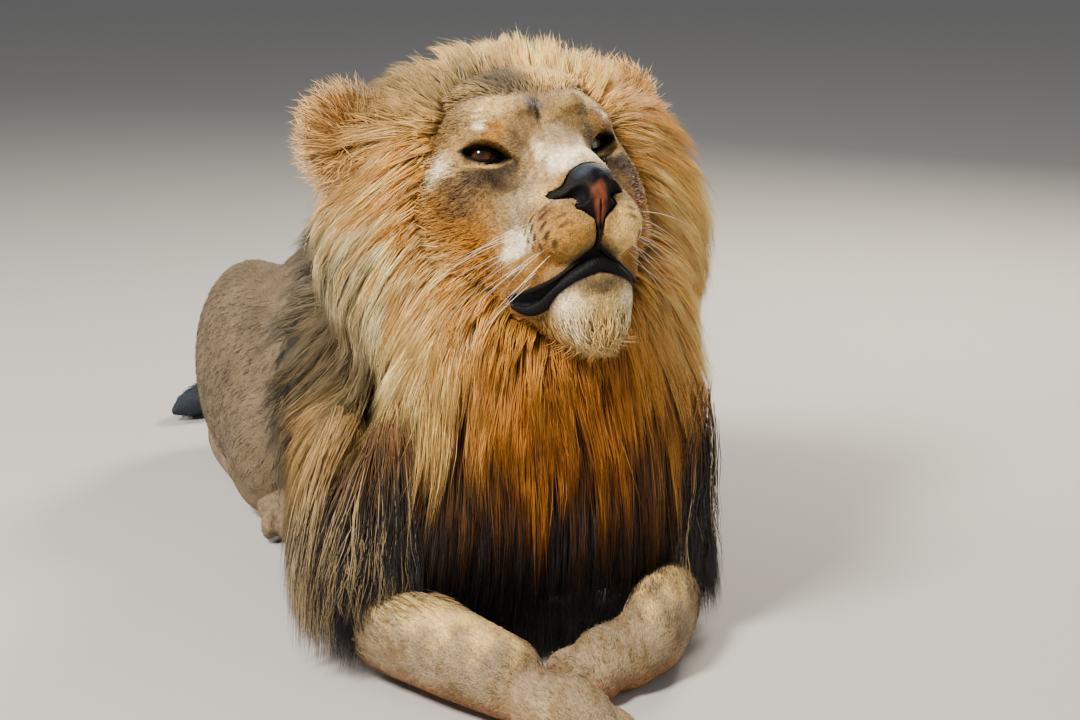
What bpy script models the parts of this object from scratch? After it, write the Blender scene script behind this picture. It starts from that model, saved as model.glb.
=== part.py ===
"""A male lion lying on its chest with its head raised, life size, in separate named parts.

Metres, +Z up, the animal facing -Y with its left side at +X. The origin is at the middle of
the lion's bounding box, on the floor. Every form runs out to the tips of the coat.
"""

import math

import bmesh
import bpy
import numpy as np
from mathutils import Matrix, Vector

# Driving dimensions
GAP = 0.0004  # clearance between neighbouring parts
CREASE_GAP = 0.0014  # the same round a creased form, where the corners take some of it
HEAD_SIZE = 1.105  # scale of the head's own measures below
HEAD_YAW = math.radians(1.5)  # turned to its left
HEAD_PITCH = math.radians(17.0)  # muzzle raised
HEAD_ROLL = math.radians(2.1)  # left eye the higher
EYE_MIDDLE = Vector((0.0, -0.3325, 0.646))  # between the eyes
EYE_APART = 0.060  # half the distance between the eyes, before HEAD_SIZE
EYE_SETBACK = 0.010  # the eyeballs behind the middle point between the lids, before HEAD_SIZE
EYE_DROP = 0.006  # and below it
EYE_RADIUS = 0.021
CENTRE_SHIFT = Vector((0.0, -0.191, 0.0))  # from the working frame to the part's frame

BODY_VOXEL = 0.007
HEAD_VOXEL = 0.0036
TUFT_VOXEL = 0.005
BODY_TRIANGLES = 1360  # of each form before its neighbours are cut out of it
HEAD_TRIANGLES = 640
NOSE_TRIANGLES = 120
PAW_TRIANGLES = 140
TUFT_TRIANGLES = 140
LOCK_DEPTH = 0.008  # relief of the mane's locks
LOCKS_AROUND = 22
BIG = 2.0  # half the side of a cutting block

SIDES = {"left": 1.0, "right": -1.0}


# Frames and meshes

def head_matrix():
    """Head frame: x forward, y to the head's left, z up, scaled by HEAD_SIZE."""
    forward = Vector((math.sin(HEAD_YAW) * math.cos(HEAD_PITCH),
                      -math.cos(HEAD_YAW) * math.cos(HEAD_PITCH), math.sin(HEAD_PITCH)))
    left = Vector((math.cos(HEAD_YAW), math.sin(HEAD_YAW), 0.0))
    up = forward.cross(left)
    rolled_left = left * math.cos(HEAD_ROLL) + up * math.sin(HEAD_ROLL)
    rolled_up = up * math.cos(HEAD_ROLL) - left * math.sin(HEAD_ROLL)
    axes = Matrix((forward, rolled_left, rolled_up)).transposed().to_4x4()
    return Matrix.Translation(EYE_MIDDLE) @ axes @ Matrix.Scale(HEAD_SIZE, 4)


def tilt(degrees, axis="X"):
    """A turn about one axis, as a 4x4 matrix."""
    return Matrix.Rotation(math.radians(degrees), 4, axis)


def mesh_of(bm, name):
    """A new mesh from a bmesh, with its faces pointing out."""
    bmesh.ops.recalc_face_normals(bm, faces=bm.faces)
    mesh = bpy.data.meshes.new(name)
    bm.to_mesh(mesh)
    bm.free()
    return mesh


def ellipsoid(centre, radii, frame=None, turn=None, segments=24):
    """A closed ellipsoid: a unit sphere scaled by radii, turned, and placed in a frame."""
    bm = bmesh.new()
    bmesh.ops.create_uvsphere(bm, u_segments=segments, v_segments=segments * 2 // 3, radius=1.0)
    place = Matrix.Translation(Vector(centre)) @ (turn or Matrix()) @ Matrix.Diagonal((*radii, 1.0))
    bmesh.ops.transform(bm, matrix=(frame or Matrix()) @ place, verts=bm.verts)
    return mesh_of(bm, "ellipsoid")


def curve_through(stations, count):
    """Catmull-Rom curve through rows of numbers, sampled at count even steps."""
    rows = np.array(stations, dtype=float)
    padded = np.vstack([2 * rows[0] - rows[1], rows, 2 * rows[-1] - rows[-2]])
    t = np.linspace(0.0, len(rows) - 1.0, count)
    i = np.minimum(t.astype(int), len(rows) - 2)
    f = (t - i)[:, None]
    a, b, c, d = padded[i], padded[i + 1], padded[i + 2], padded[i + 3]
    return 0.5 * (2 * b + (c - a) * f + (2 * a - 5 * b + 4 * c - d) * f ** 2
                  + (3 * b - a - 3 * c + d) * f ** 3)


def loft(stations, rings=10, sides=14, frame=None):
    """A limb: ellipses carried along a curve, with round ends.

    Each station is x, y, z, half width across and half height. The ellipse stands square to
    the curve, its width level with the floor.
    """
    rows = curve_through(stations, rings)
    centres = rows[:, :3]
    tangents = np.gradient(centres, axis=0)
    tangents /= np.linalg.norm(tangents, axis=1)[:, None]
    ends = []
    for which, sign in ((0, -1.0), (-1, 1.0)):
        reach = min(rows[which, 3], rows[which, 4])
        for angle in (0.65, 1.25):
            centre = centres[which] + sign * tangents[which] * reach * math.sin(angle)
            ends.append((sign, np.hstack([centre, rows[which, 3:] * math.cos(angle)]), tangents[which]))
    front = [end for end in ends if end[0] < 0][::-1]
    back = [end for end in ends if end[0] > 0]
    rows = np.vstack([[end[1] for end in front], rows, [end[1] for end in back]])
    tangents = np.vstack([[end[2] for end in front], tangents, [end[2] for end in back]])
    across = np.cross(tangents, (0.0, 0.0, 1.0))
    steep = np.linalg.norm(across, axis=1) < 0.2
    across[steep] = (1.0, 0.0, 0.0)
    across /= np.linalg.norm(across, axis=1)[:, None]
    upward = np.cross(across, tangents)
    angle = np.linspace(0.0, 2 * math.pi, sides, endpoint=False)
    ring = (rows[:, None, :3] + across[:, None] * (rows[:, 3, None] * np.cos(angle))[..., None]
            + upward[:, None] * (rows[:, 4, None] * np.sin(angle))[..., None])
    bm = bmesh.new()
    grid = [[bm.verts.new(point) for point in row] for row in ring]
    for lower, upper in zip(grid, grid[1:]):
        for k in range(sides):
            bm.faces.new((lower[k], lower[(k + 1) % sides], upper[(k + 1) % sides], upper[k]))
    bm.faces.new(grid[0])
    bm.faces.new(grid[-1])
    bmesh.ops.transform(bm, matrix=frame or Matrix(), verts=bm.verts)
    return mesh_of(bm, "loft")


def block(frame):
    """A cutting block that fills everything below its frame's z = 0, and reaches BIG sideways."""
    bm = bmesh.new()
    place = Matrix.Translation((0.0, 0.0, -BIG)) @ Matrix.Diagonal((BIG, BIG, BIG, 1.0))
    bmesh.ops.create_cube(bm, size=2.0, matrix=frame @ place)
    return mesh_of(bm, "block")


def box(centre, half, frame=None):
    """A closed box from its middle and half sides."""
    bm = bmesh.new()
    place = Matrix.Translation(Vector(centre)) @ Matrix.Diagonal((*half, 1.0))
    bmesh.ops.create_cube(bm, size=2.0, matrix=(frame or Matrix()) @ place)
    return mesh_of(bm, "box")


def facing(point, normal, shift=0.0):
    """The frame of a plane through a point, its z along the normal, moved by shift."""
    normal = Vector(normal).normalized()
    turn = normal.to_track_quat("Z", "Y").to_matrix().to_4x4()
    return Matrix.Translation(Vector(point) + normal * shift) @ turn


def grown(mesh, by=GAP):
    """A copy of a mesh with every vertex moved out along its normal."""
    copy = mesh.copy()
    count = len(copy.vertices)
    places = np.empty(count * 3)
    normals = np.empty(count * 3)
    copy.vertices.foreach_get("co", places)
    copy.vertex_normals.foreach_get("vector", normals)
    copy.vertices.foreach_set("co", places + normals * by)
    return copy


def worked(mesh, steps):
    """The mesh after a list of modifiers, each a type and its settings."""
    work = bpy.data.objects.new("work", mesh)
    bpy.context.scene.collection.objects.link(work)
    for kind, settings in steps:
        modifier = work.modifiers.new(kind, kind)
        for key, value in settings.items():
            setattr(modifier, key, value)
    depsgraph = bpy.context.evaluated_depsgraph_get()
    result = bpy.data.meshes.new_from_object(work.evaluated_get(depsgraph))
    bpy.data.objects.remove(work)
    return result


def boolean(mesh, cutter, operation):
    """One EXACT Boolean of two closed meshes, as a new mesh."""
    tool = bpy.data.objects.new("tool", cutter)
    tool.hide_render = True
    tool.display_type = "WIRE"
    cutters.objects.link(tool)
    settings = {"object": tool, "operation": operation, "solver": "EXACT"}
    result = worked(mesh, [("BOOLEAN", settings)])
    bpy.data.objects.remove(tool)
    return result


def part_along(mesh, point, normal):
    """The two pieces of a mesh on either side of a plane, GAP apart: below it, above it."""
    below = boolean(mesh, block(facing(point, normal, -GAP / 2)), "INTERSECT")
    above = boolean(mesh, block(facing(point, normal, GAP / 2)), "DIFFERENCE")
    return below, above


def fused(meshes, voxel, smoothing, triangles, relief=None):
    """One smooth closed form round a list of overlapping closed meshes, then simplified."""
    bm = bmesh.new()
    for mesh in meshes:
        bm.from_mesh(mesh)
    joined = mesh_of(bm, "joined")
    smooth = {"factor": 0.5, "iterations": smoothing}
    solid = worked(joined, [("REMESH", {"mode": "VOXEL", "voxel_size": voxel}), ("SMOOTH", smooth)])
    if relief:
        relief(solid)
    ratio = min(1.0, triangles / (2.0 * len(solid.polygons)))
    return worked(solid, [("TRIANGULATE", {}), ("DECIMATE", {"ratio": ratio})])


def floored(mesh):
    """The mesh with whatever lies below the floor cut away, which leaves small flats."""
    return boolean(mesh, block(Matrix()), "DIFFERENCE")


def largest(mesh):
    """The mesh's biggest connected body, as a tidy closed mesh."""
    bm = bmesh.new()
    bm.from_mesh(mesh)
    bmesh.ops.remove_doubles(bm, verts=bm.verts, dist=0.00002)
    bmesh.ops.dissolve_degenerate(bm, dist=0.00002, edges=bm.edges)
    bmesh.ops.triangulate(bm, faces=bm.faces, ngon_method="EAR_CLIP")
    left = set(bm.verts)
    groups = []
    while left:
        stack = [left.pop()]
        group = set(stack)
        while stack:
            for edge in stack.pop().link_edges:
                for vertex in edge.verts:
                    if vertex in left:
                        left.discard(vertex)
                        group.add(vertex)
                        stack.append(vertex)
        groups.append(group)
    keep = max(groups, key=len)
    bmesh.ops.delete(bm, geom=[v for v in bm.verts if v not in keep], context="VERTS")
    return mesh_of(bm, mesh.name)


# Materials

def material(name, colour, roughness):
    """A plain Principled finish."""
    made = bpy.data.materials.new(name)
    made.use_nodes = True
    shader = made.node_tree.nodes["Principled BSDF"]
    shader.inputs["Base Color"].default_value = (*colour, 1.0)
    shader.inputs["Roughness"].default_value = roughness
    shader.inputs["Metallic"].default_value = 0.0
    return made


def place_part(name, mesh, finish):
    """A named part of the lion in the collection, in the part's own frame."""
    mesh = largest(mesh)
    mesh.transform(Matrix.Translation(CENTRE_SHIFT))
    mesh.name = name
    mesh.materials.clear()
    mesh.materials.append(finish)
    mesh.shade_smooth()
    mesh.set_sharp_from_angle(angle=math.radians(50.0))
    made = bpy.data.objects.new(name, mesh)
    lion.objects.link(made)


# The head

def head_mass(frame):
    """Skull, brows, cheeks, bridge, whisker pads and jaw, in the head frame's measures."""
    pieces = [
        ellipsoid((-0.075, 0.0, -0.005), (0.125, 0.108, 0.092), frame),
        ellipsoid((-0.020, 0.0, 0.018), (0.075, 0.082, 0.046), frame, tilt(14.0, "Y")),
        ellipsoid((-0.095, 0.0, -0.055), (0.078, 0.088, 0.078), frame),
        ellipsoid((0.028, 0.0, -0.162), (0.092, 0.058, 0.048), frame, tilt(8.0, "Y")),
        ellipsoid((0.092, 0.0, -0.170), (0.036, 0.044, 0.044), frame),
        loft([(-0.030, 0.0, -0.055, 0.086, 0.075), (0.040, 0.0, -0.070, 0.064, 0.066),
              (0.090, 0.0, -0.084, 0.052, 0.052), (0.106, 0.0, -0.088, 0.042, 0.042)], frame=frame),
        loft([(-0.020, 0.0, 0.014, 0.042, 0.030), (0.050, 0.0, -0.018, 0.031, 0.026),
              (0.100, 0.0, -0.040, 0.030, 0.024), (0.126, 0.0, -0.055, 0.030, 0.022)], frame=frame),
    ]
    for side in SIDES.values():
        pieces += [
            ellipsoid((-0.040, side * 0.072, -0.070), (0.080, 0.050, 0.082), frame, tilt(-12.0, "Y")),
            ellipsoid((0.018, side * 0.046, -0.126), (0.072, 0.037, 0.056), frame, tilt(10.0, "Y")),
            ellipsoid((0.004, side * 0.050, 0.019), (0.030, 0.034, 0.018), frame, tilt(18.0, "Y")),
            ellipsoid((0.100, side * 0.031, -0.098), (0.045, 0.033, 0.035), frame, tilt(10.0, "Y")),
        ]
    return fused(pieces, HEAD_VOXEL, 9, HEAD_TRIANGLES)


def eye_socket(frame, side):
    """The cutter that sinks one eye: a short shallow dish round the eyeball."""
    return ellipsoid((0.014, side * EYE_APART * 1.03, -EYE_DROP), (0.016, 0.024, 0.014), frame, segments=10)


def build_head(frame, head):
    """Head, lower jaw, nose pad and eyes as separate closed parts of the head's mass."""
    eyes = {}
    for name, side in SIDES.items():
        head = boolean(head, eye_socket(frame, side), "DIFFERENCE")
        centre = frame @ Vector((-EYE_SETBACK, side * EYE_APART, -EYE_DROP))
        eyes[name] = ellipsoid(centre, (EYE_RADIUS,) * 3, segments=12)
        head = boolean(head, grown(eyes[name]), "DIFFERENCE")
    nose = fused([ellipsoid((0.138, 0.0, -0.056), (0.019, 0.041, 0.019), frame, tilt(-18.0, "Y")),
                  ellipsoid((0.142, 0.0, -0.074), (0.014, 0.022, 0.028), frame)],
                 HEAD_VOXEL, 2, NOSE_TRIANGLES)
    head = boolean(head, grown(nose), "DIFFERENCE")
    jaw_frame = frame @ Matrix.Translation((0.125, 0.0, -0.140)) @ tilt(-16.0, "Y")
    jaw_cut = box((0.02, 0.0, -0.10), (0.150, 0.12, 0.10), jaw_frame)
    jaw = boolean(head, jaw_cut, "INTERSECT")
    head = boolean(head, grown(jaw_cut), "DIFFERENCE")
    return head, jaw, nose, eyes


def ear(frame, side):
    """A round ear, thick with fur at its base: its whole form, and the same with its hollow."""
    turn = tilt(side * 35.0, "Z") @ tilt(-side * 28.0, "X") @ tilt(-12.0, "Y")
    outer = ellipsoid((-0.132, side * 0.168, 0.040), (0.032, 0.056, 0.066), frame, turn, 12)
    hollow = ellipsoid((-0.092, side * 0.178, 0.048), (0.026, 0.034, 0.042), frame, turn, 10)
    return outer, boolean(outer, hollow, "DIFFERENCE")


# The mane, neck, trunk and haunches

def lock_relief(mesh):
    """Furrows between the mane's locks, as ridges along the fall of the hair.

    Each vertex moves along its normal by a rounded ridge wave: round the head's axis on the
    ruff, and across the chest and shoulders lower down. The wave fades out behind the mane.
    """
    count = len(mesh.vertices)
    places = np.empty(count * 3)
    normals = np.empty(count * 3)
    mesh.vertices.foreach_get("co", places)
    mesh.vertex_normals.foreach_get("vector", normals)
    places = places.reshape(-1, 3)
    normals = normals.reshape(-1, 3)
    x, y, z = places.T
    around = np.arctan2(x - 0.02, z - 0.52)
    ruff = np.clip((z - 0.26) / 0.12, 0.0, 1.0)
    wander = 0.5 * np.sin(9.0 * z + 5.0 * y) + 0.4 * np.sin(14.0 * y + 3.0 * x)
    radial = np.abs(np.sin(around * LOCKS_AROUND / 2 + wander))
    falling = np.abs(np.sin((x + 0.35 * y) * 42.0 + 2.0 * wander))
    ridge = ruff * radial + (1.0 - ruff) * falling
    fade = np.clip((0.16 - y) / 0.14, 0.0, 1.0)
    fade *= np.clip(np.maximum(z / 0.05, 0.0), 0.0, 1.0)
    places += normals * ((ridge - 0.6) * LOCK_DEPTH * fade)[:, None]
    mesh.vertices.foreach_set("co", places.ravel())


def body_mass():
    """Ruff, bib, shoulder mane, neck, trunk and haunches as one closed form."""
    pieces = [
        ellipsoid((0.020, -0.205, 0.512), (0.280, 0.150, 0.250), turn=tilt(-19.0) @ tilt(-9.0, "Y")),
        ellipsoid((-0.020, -0.170, 0.640), (0.205, 0.130, 0.118), turn=tilt(-19.0) @ tilt(-9.0, "Y")),
        loft([(0.022, -0.330, 0.440, 0.200, 0.110), (0.010, -0.345, 0.320, 0.228, 0.112),
              (-0.005, -0.335, 0.200, 0.236, 0.105), (-0.010, -0.325, 0.110, 0.232, 0.085)]),
        ellipsoid((-0.008, -0.050, 0.290), (0.290, 0.235, 0.262)),
        loft([(0.0, 0.190, 0.385, 0.170, 0.100), (0.0, 0.060, 0.450, 0.215, 0.140),
              (0.010, -0.080, 0.545, 0.225, 0.175)]),
        loft([(0.0, -0.100, 0.255, 0.190, 0.250), (0.0, 0.100, 0.245, 0.200, 0.248),
              (0.0, 0.300, 0.228, 0.195, 0.222), (0.0, 0.500, 0.212, 0.175, 0.190),
              (0.0, 0.650, 0.195, 0.140, 0.165)]),
    ]
    for side in SIDES.values():
        pieces += [
            ellipsoid((side * 0.172, 0.465, 0.180), (0.110, 0.215, 0.188), turn=tilt(8.0)),
            ellipsoid((side * 0.205, 0.300, 0.105), (0.070, 0.110, 0.108), turn=tilt(-20.0)),
            ellipsoid((side * 0.210 - 0.008, -0.190, 0.190), (0.080, 0.150, 0.150), turn=tilt(20.0)),
            ellipsoid((side * 0.205 - 0.012, -0.275, 0.118), (0.080, 0.110, 0.122)),
            ellipsoid((side * 0.120, 0.660, 0.170), (0.085, 0.100, 0.130)),
        ]
    return floored(fused(pieces, BODY_VOXEL, 6, BODY_TRIANGLES, lock_relief))


def split_body(body):
    """The body parted by planes where a person would name its parts."""
    parts = {}
    ruff_back = Vector((0.0, -0.115, 0.550))
    front, rest = part_along(body, ruff_back, (0.0, math.cos(HEAD_PITCH), -math.sin(HEAD_PITCH)))
    ruff, bib = part_along(front, (0.0, -0.3, 0.330), (0.0, 0.35, -1.0))
    parts["mane_crown"], flanks = part_along(ruff, (0.0, -0.2, 0.640), (0.0, 0.2, -1.0))
    parts["mane_right"], other = part_along(flanks, (-0.105, 0.0, 0.0), (1.0, 0.0, 0.0))
    parts["mane_throat"], parts["mane_left"] = part_along(other, (0.145, 0.0, 0.0), (1.0, 0.0, 0.0))
    right, other = part_along(bib, (-0.185, 0.0, 0.0), (1.0, 0.0, 0.0))
    parts["mane_chest"], left = part_along(other, (0.185, 0.0, 0.0), (1.0, 0.0, 0.0))
    parts["upper_arm_right"] = right
    parts["upper_arm_left"] = left
    shoulders, rear = part_along(rest, (0.0, 0.175, 0.0), (0.0, 1.0, 0.0))
    parts["neck"], shoulders = part_along(shoulders, (0.0, 0.0, 0.430), (0.0, 0.25, -1.0))
    parts["shoulder_right"], other = part_along(shoulders, (-0.150, 0.0, 0.0), (1.0, 0.0, 0.0))
    parts["chest"], parts["shoulder_left"] = part_along(other, (0.150, 0.0, 0.0), (1.0, 0.0, 0.0))
    parts["thigh_right"], other = part_along(rear, (-0.120, 0.300, 0.300), (1.0, 0.0, 0.42))
    other, parts["thigh_left"] = part_along(other, (0.120, 0.300, 0.300), (1.0, 0.0, -0.42))
    parts["trunk"], parts["rump"] = part_along(other, (0.0, 0.480, 0.0), (0.0, 1.0, 0.0))
    return parts


# Legs and tail

def paw(centre, heading, length=0.078, width=0.058, height=0.046):
    """A broad paw: a low pad with four toes fanned at its front."""
    frame = Matrix.Translation(Vector(centre)) @ tilt(heading, "Z")
    pieces = [ellipsoid((0.0, 0.0, 0.0), (width, length, height), frame)]
    for offset, reach in ((-0.66, 0.050), (-0.23, 0.066), (0.23, 0.066), (0.66, 0.050)):
        toe = (offset * width, -reach, -0.007)
        pieces.append(ellipsoid(toe, (0.019, 0.035, 0.027), frame, tilt(-offset * 16.0, "Z")))
    return fused(pieces, HEAD_VOXEL, 2, PAW_TRIANGLES)


def build_front_legs():
    """Forearms laid on the floor: the right one crosses in front, the left wrist is folded in.

    Returns the parts, and the whole forms that the body makes room for.
    """
    right = [(-0.240, -0.225, 0.080, 0.058, 0.078), (-0.215, -0.335, 0.070, 0.060, 0.070),
             (-0.160, -0.440, 0.067, 0.054, 0.062), (-0.108, -0.530, 0.058, 0.047, 0.056)]
    left = [(0.225, -0.180, 0.080, 0.056, 0.076), (0.190, -0.300, 0.070, 0.055, 0.068),
            (0.145, -0.400, 0.062, 0.050, 0.060), (0.108, -0.455, 0.054, 0.048, 0.056)]
    parts = {"paw_front_right": paw((-0.068, -0.600, 0.040), 20.0),
             "paw_front_left": paw((0.056, -0.470, 0.038), -72.0, length=0.070)}
    arms = {"forearm_right": loft(right, 6, 10), "forearm_left": loft(left, 6, 10)}
    whole = [*parts.values(), *arms.values()]
    for name, mesh in arms.items():
        parts[name] = boolean(mesh, grown(parts[name.replace("forearm", "paw_front")]), "DIFFERENCE")
    return {name: floored(mesh) for name, mesh in parts.items()}, whole


def build_hind_legs():
    """Hind feet tucked along the floor under the thighs: parts, and the whole forms."""
    parts = {}
    whole = []
    for name, side in SIDES.items():
        foot = paw((side * 0.190, 0.230, 0.036), side * 6.0, length=0.070, width=0.052)
        shin = loft([(side * 0.196, 0.275, 0.042, 0.038, 0.042), (side * 0.208, 0.420, 0.036, 0.034, 0.038),
                     (side * 0.212, 0.580, 0.038, 0.034, 0.040), (side * 0.195, 0.665, 0.052, 0.036, 0.046)],
                    6, 9)
        parts["paw_hind_" + name] = foot
        parts["hock_" + name] = boolean(shin, grown(foot), "DIFFERENCE")
        whole += [foot, shin]
    return {name: floored(mesh) for name, mesh in parts.items()}, whole


def build_tail():
    """The tail from the rump to its dark tuft, laid on the floor: parts, and its whole form."""
    route = [(0.0, 0.730, 0.205, 0.034, 0.034), (0.020, 0.815, 0.085, 0.029, 0.029),
             (0.085, 0.885, 0.032, 0.025, 0.025), (0.150, 0.960, 0.023, 0.022, 0.022),
             (0.130, 1.045, 0.021, 0.020, 0.020), (0.030, 1.060, 0.020, 0.018, 0.018),
             (-0.065, 0.990, 0.020, 0.018, 0.018), (-0.130, 0.920, 0.021, 0.019, 0.019)]
    whole = loft(route, rings=22, sides=7)
    tuft = fused([loft([(-0.125, 0.925, 0.022, 0.020, 0.020), (-0.170, 0.892, 0.030, 0.036, 0.030),
                        (-0.215, 0.868, 0.030, 0.034, 0.030), (-0.255, 0.850, 0.020, 0.010, 0.012)])],
                 TUFT_VOXEL, 2, TUFT_TRIANGLES)
    bare = boolean(whole, grown(tuft), "DIFFERENCE")
    base, rest = part_along(bare, (0.0, 0.905, 0.0), (0.0, 1.0, 0.0))
    end, middle = part_along(rest, (0.060, 0.0, 0.0), (1.0, 0.0, 0.0))
    parts = {"tail_base": base, "tail_middle": middle, "tail_end": end, "tail_tuft": tuft}
    return {name: floored(mesh) for name, mesh in parts.items()}, [whole]


def build():
    """Make every part, clear neighbours from each other, and place them."""
    tan = material("coat_tan", (0.42, 0.33, 0.22), 0.85)
    pale = material("coat_face", (0.50, 0.38, 0.24), 0.85)
    gold = material("mane_gold", (0.55, 0.31, 0.11), 0.85)
    dark = material("mane_dark", (0.07, 0.05, 0.04), 0.85)
    skin = material("nose_skin", (0.10, 0.06, 0.06), 0.45)
    glass = material("eye_glass", (0.10, 0.04, 0.01), 0.08)

    frame = head_matrix()
    skull = head_mass(frame)
    head, jaw, nose, eyes = build_head(frame, skull)
    front_legs, front_forms = build_front_legs()
    hind_legs, hind_forms = build_hind_legs()
    tail, tail_forms = build_tail()
    ears = {}
    ear_forms = []
    for name, side in SIDES.items():
        form, cup = ear(frame, side)
        ears[name] = boolean(cup, grown(skull, CREASE_GAP), "DIFFERENCE")
        ear_forms.append(form)

    body = body_mass()
    for mesh in (skull, *ear_forms, *front_forms, *hind_forms, *tail_forms):
        body = boolean(body, grown(mesh, CREASE_GAP), "DIFFERENCE")
    gold_parts = ("mane_crown", "mane_left", "mane_right", "mane_throat")
    dark_parts = ("mane_chest", "neck", "upper_arm_left", "upper_arm_right")
    for name, mesh in split_body(body).items():
        finish = gold if name in gold_parts else dark if name in dark_parts else tan
        place_part(name, mesh, finish)
    place_part("head", head, pale)
    place_part("lower_jaw", jaw, pale)
    place_part("nose", nose, skin)
    for name in SIDES:
        place_part("eye_" + name, eyes[name], glass)
        place_part("ear_" + name, ears[name], gold)
    for name, mesh in {**front_legs, **hind_legs}.items():
        place_part(name, mesh, tan)
    for name, mesh in tail.items():
        place_part(name, mesh, dark if name == "tail_tuft" else tan)


for old in list(bpy.data.objects):
    bpy.data.objects.remove(old)
lion = bpy.data.collections.new("lion")
cutters = bpy.data.collections.new("cutters")
bpy.context.scene.collection.children.link(lion)
bpy.context.scene.collection.children.link(cutters)
build()
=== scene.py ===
"""Looks of a male lion lying on its chest with its head raised, life size.

Metres, +Z up, the lion facing -Y with its left side at +X. Places are drawn in a working
frame whose origin is under the neck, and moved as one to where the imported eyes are. Head
details are drawn in the head's own axes: forward, left and up from the middle of the eyes.
"""

import math

import bpy
import numpy as np
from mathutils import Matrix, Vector


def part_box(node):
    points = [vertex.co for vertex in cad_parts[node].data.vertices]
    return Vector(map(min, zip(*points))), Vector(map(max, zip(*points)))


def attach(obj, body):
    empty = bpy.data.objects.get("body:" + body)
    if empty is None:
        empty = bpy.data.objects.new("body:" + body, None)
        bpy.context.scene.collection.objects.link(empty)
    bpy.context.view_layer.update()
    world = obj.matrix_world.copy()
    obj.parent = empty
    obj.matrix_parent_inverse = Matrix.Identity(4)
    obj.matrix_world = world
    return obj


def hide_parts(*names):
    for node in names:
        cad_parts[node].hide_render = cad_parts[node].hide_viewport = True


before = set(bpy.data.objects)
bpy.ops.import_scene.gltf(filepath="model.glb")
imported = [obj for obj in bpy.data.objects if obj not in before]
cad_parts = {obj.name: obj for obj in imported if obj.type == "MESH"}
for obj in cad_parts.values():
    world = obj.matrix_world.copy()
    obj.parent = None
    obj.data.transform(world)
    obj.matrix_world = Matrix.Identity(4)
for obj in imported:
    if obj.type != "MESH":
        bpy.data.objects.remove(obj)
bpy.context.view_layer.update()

# Driving dimensions, in metres and degrees
HEAD_SIZE = 1.105  # scale of the head's own measures
HEAD_YAW = 1.5
HEAD_PITCH = 17.0
HEAD_ROLL = 2.1
EYE_MIDDLE = np.array([0.0, -0.3325, 0.646])  # between the eyes, in the working frame
EYE_APART = 0.060  # half the distance between the eyes, in head measures
EYE_SETBACK = 0.010  # the eyeballs' centres behind the middle of the lids, in head measures
EYE_DROP = 0.006  # and below it
EYE_RADIUS = 0.021
EAR_MIDDLE = np.array([-0.125, 0.168, 0.040])  # the left ear's, in head measures
EAR_FLUFF = 0.075  # reach of the shaggy hair round it

BODY_CUBE = 0.0125  # side of the cubes that the skin is found in
LIMB_CUBE = 0.0065
FACE_CUBE = 0.0026
EAR_CUBE = 0.0045
NOSE_CUBE = 0.0012
EAR_ROOM = 0.09  # half the side of the block round an ear
FAR = 0.2  # a distance that counts as outside every form
STEEP = 0.8  # rise of a route past which its width is taken along X

MANE_DEPTH = 0.045  # from the mane's outline in to the skin
ROOT_DEPTH = MANE_DEPTH - 0.006  # from the outline in to the mane's roots
BODY_COAT = 0.010
LIMB_COAT = 0.006
FACE_COAT = 0.003
SKIN_GAP = 0.001  # least height of the skin above the floor
HAIR_GAP = 0.004  # and of long hair

GUIDES = 3120  # locks drawn over the mane, before those that would cross the face are dropped
STRANDS = 17  # in each lock
STATIONS = 4  # along each strand of the mane
ELBOW_LOCKS = (176, 46)  # over the right elbow and the left
TAIL_TUFTS = 1500
FACE_DENSITY = 160000.0  # tufts on a square head measure of the face
BODY_DENSITY = 12600.0  # tufts on a square metre of the body
HAIR_LIMIT = 190000  # most triangles in one piece of coat
PATCH = 0.003  # width of a tuft's patch on the unwrap

CAMERA_PLACE = (-0.8123, -2.5643, 0.9975)  # in the working frame
CAMERA_YAW = 20.09
CAMERA_PITCH = -14.55
CAMERA_LENS = 66.67  # millimetres
CAMERA_SENSOR = 36.0

SIDES = {"left": 1.0, "right": -1.0}


# Frames

def turn(degrees, axis):
    """A turn about one axis, as three rows of three."""
    c, s = math.cos(math.radians(degrees)), math.sin(math.radians(degrees))
    rows = {"X": ((1, 0, 0), (0, c, -s), (0, s, c)),
            "Y": ((c, 0, s), (0, 1, 0), (-s, 0, c)),
            "Z": ((c, -s, 0), (s, c, 0), (0, 0, 1))}
    return np.array(rows[axis], float)


def unit(vectors):
    """Vectors divided by their lengths."""
    return vectors / np.maximum(np.linalg.norm(vectors, axis=-1, keepdims=True), 1e-9)


def head_axes():
    """Rows: the head's forward, left and up directions, from its yaw, pitch and roll."""
    yaw, pitch, roll = (math.radians(a) for a in (HEAD_YAW, HEAD_PITCH, HEAD_ROLL))
    forward = np.array([math.sin(yaw) * math.cos(pitch), -math.cos(yaw) * math.cos(pitch),
                        math.sin(pitch)])
    left = np.array([math.cos(yaw), math.sin(yaw), 0.0])
    up = np.cross(forward, left)
    return np.array([forward, left * math.cos(roll) + up * math.sin(roll),
                     up * math.cos(roll) - left * math.sin(roll)])


HEAD_AXES = head_axes()


def middle_of(node):
    """The middle of a node's box."""
    low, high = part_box(node)
    return (np.array(low) + np.array(high)) / 2.0


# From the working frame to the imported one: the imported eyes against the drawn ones
SHIFT = ((middle_of("eye_left") + middle_of("eye_right")) / 2.0
         - EYE_MIDDLE + (HEAD_AXES[0] * EYE_SETBACK + HEAD_AXES[2] * EYE_DROP) * HEAD_SIZE)


def to_head(points):
    """Working frame to head measures."""
    return (points - EYE_MIDDLE) @ HEAD_AXES.T / HEAD_SIZE


def from_head(points):
    """Head measures to the working frame."""
    return np.asarray(points) * HEAD_SIZE @ HEAD_AXES + EYE_MIDDLE


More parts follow.
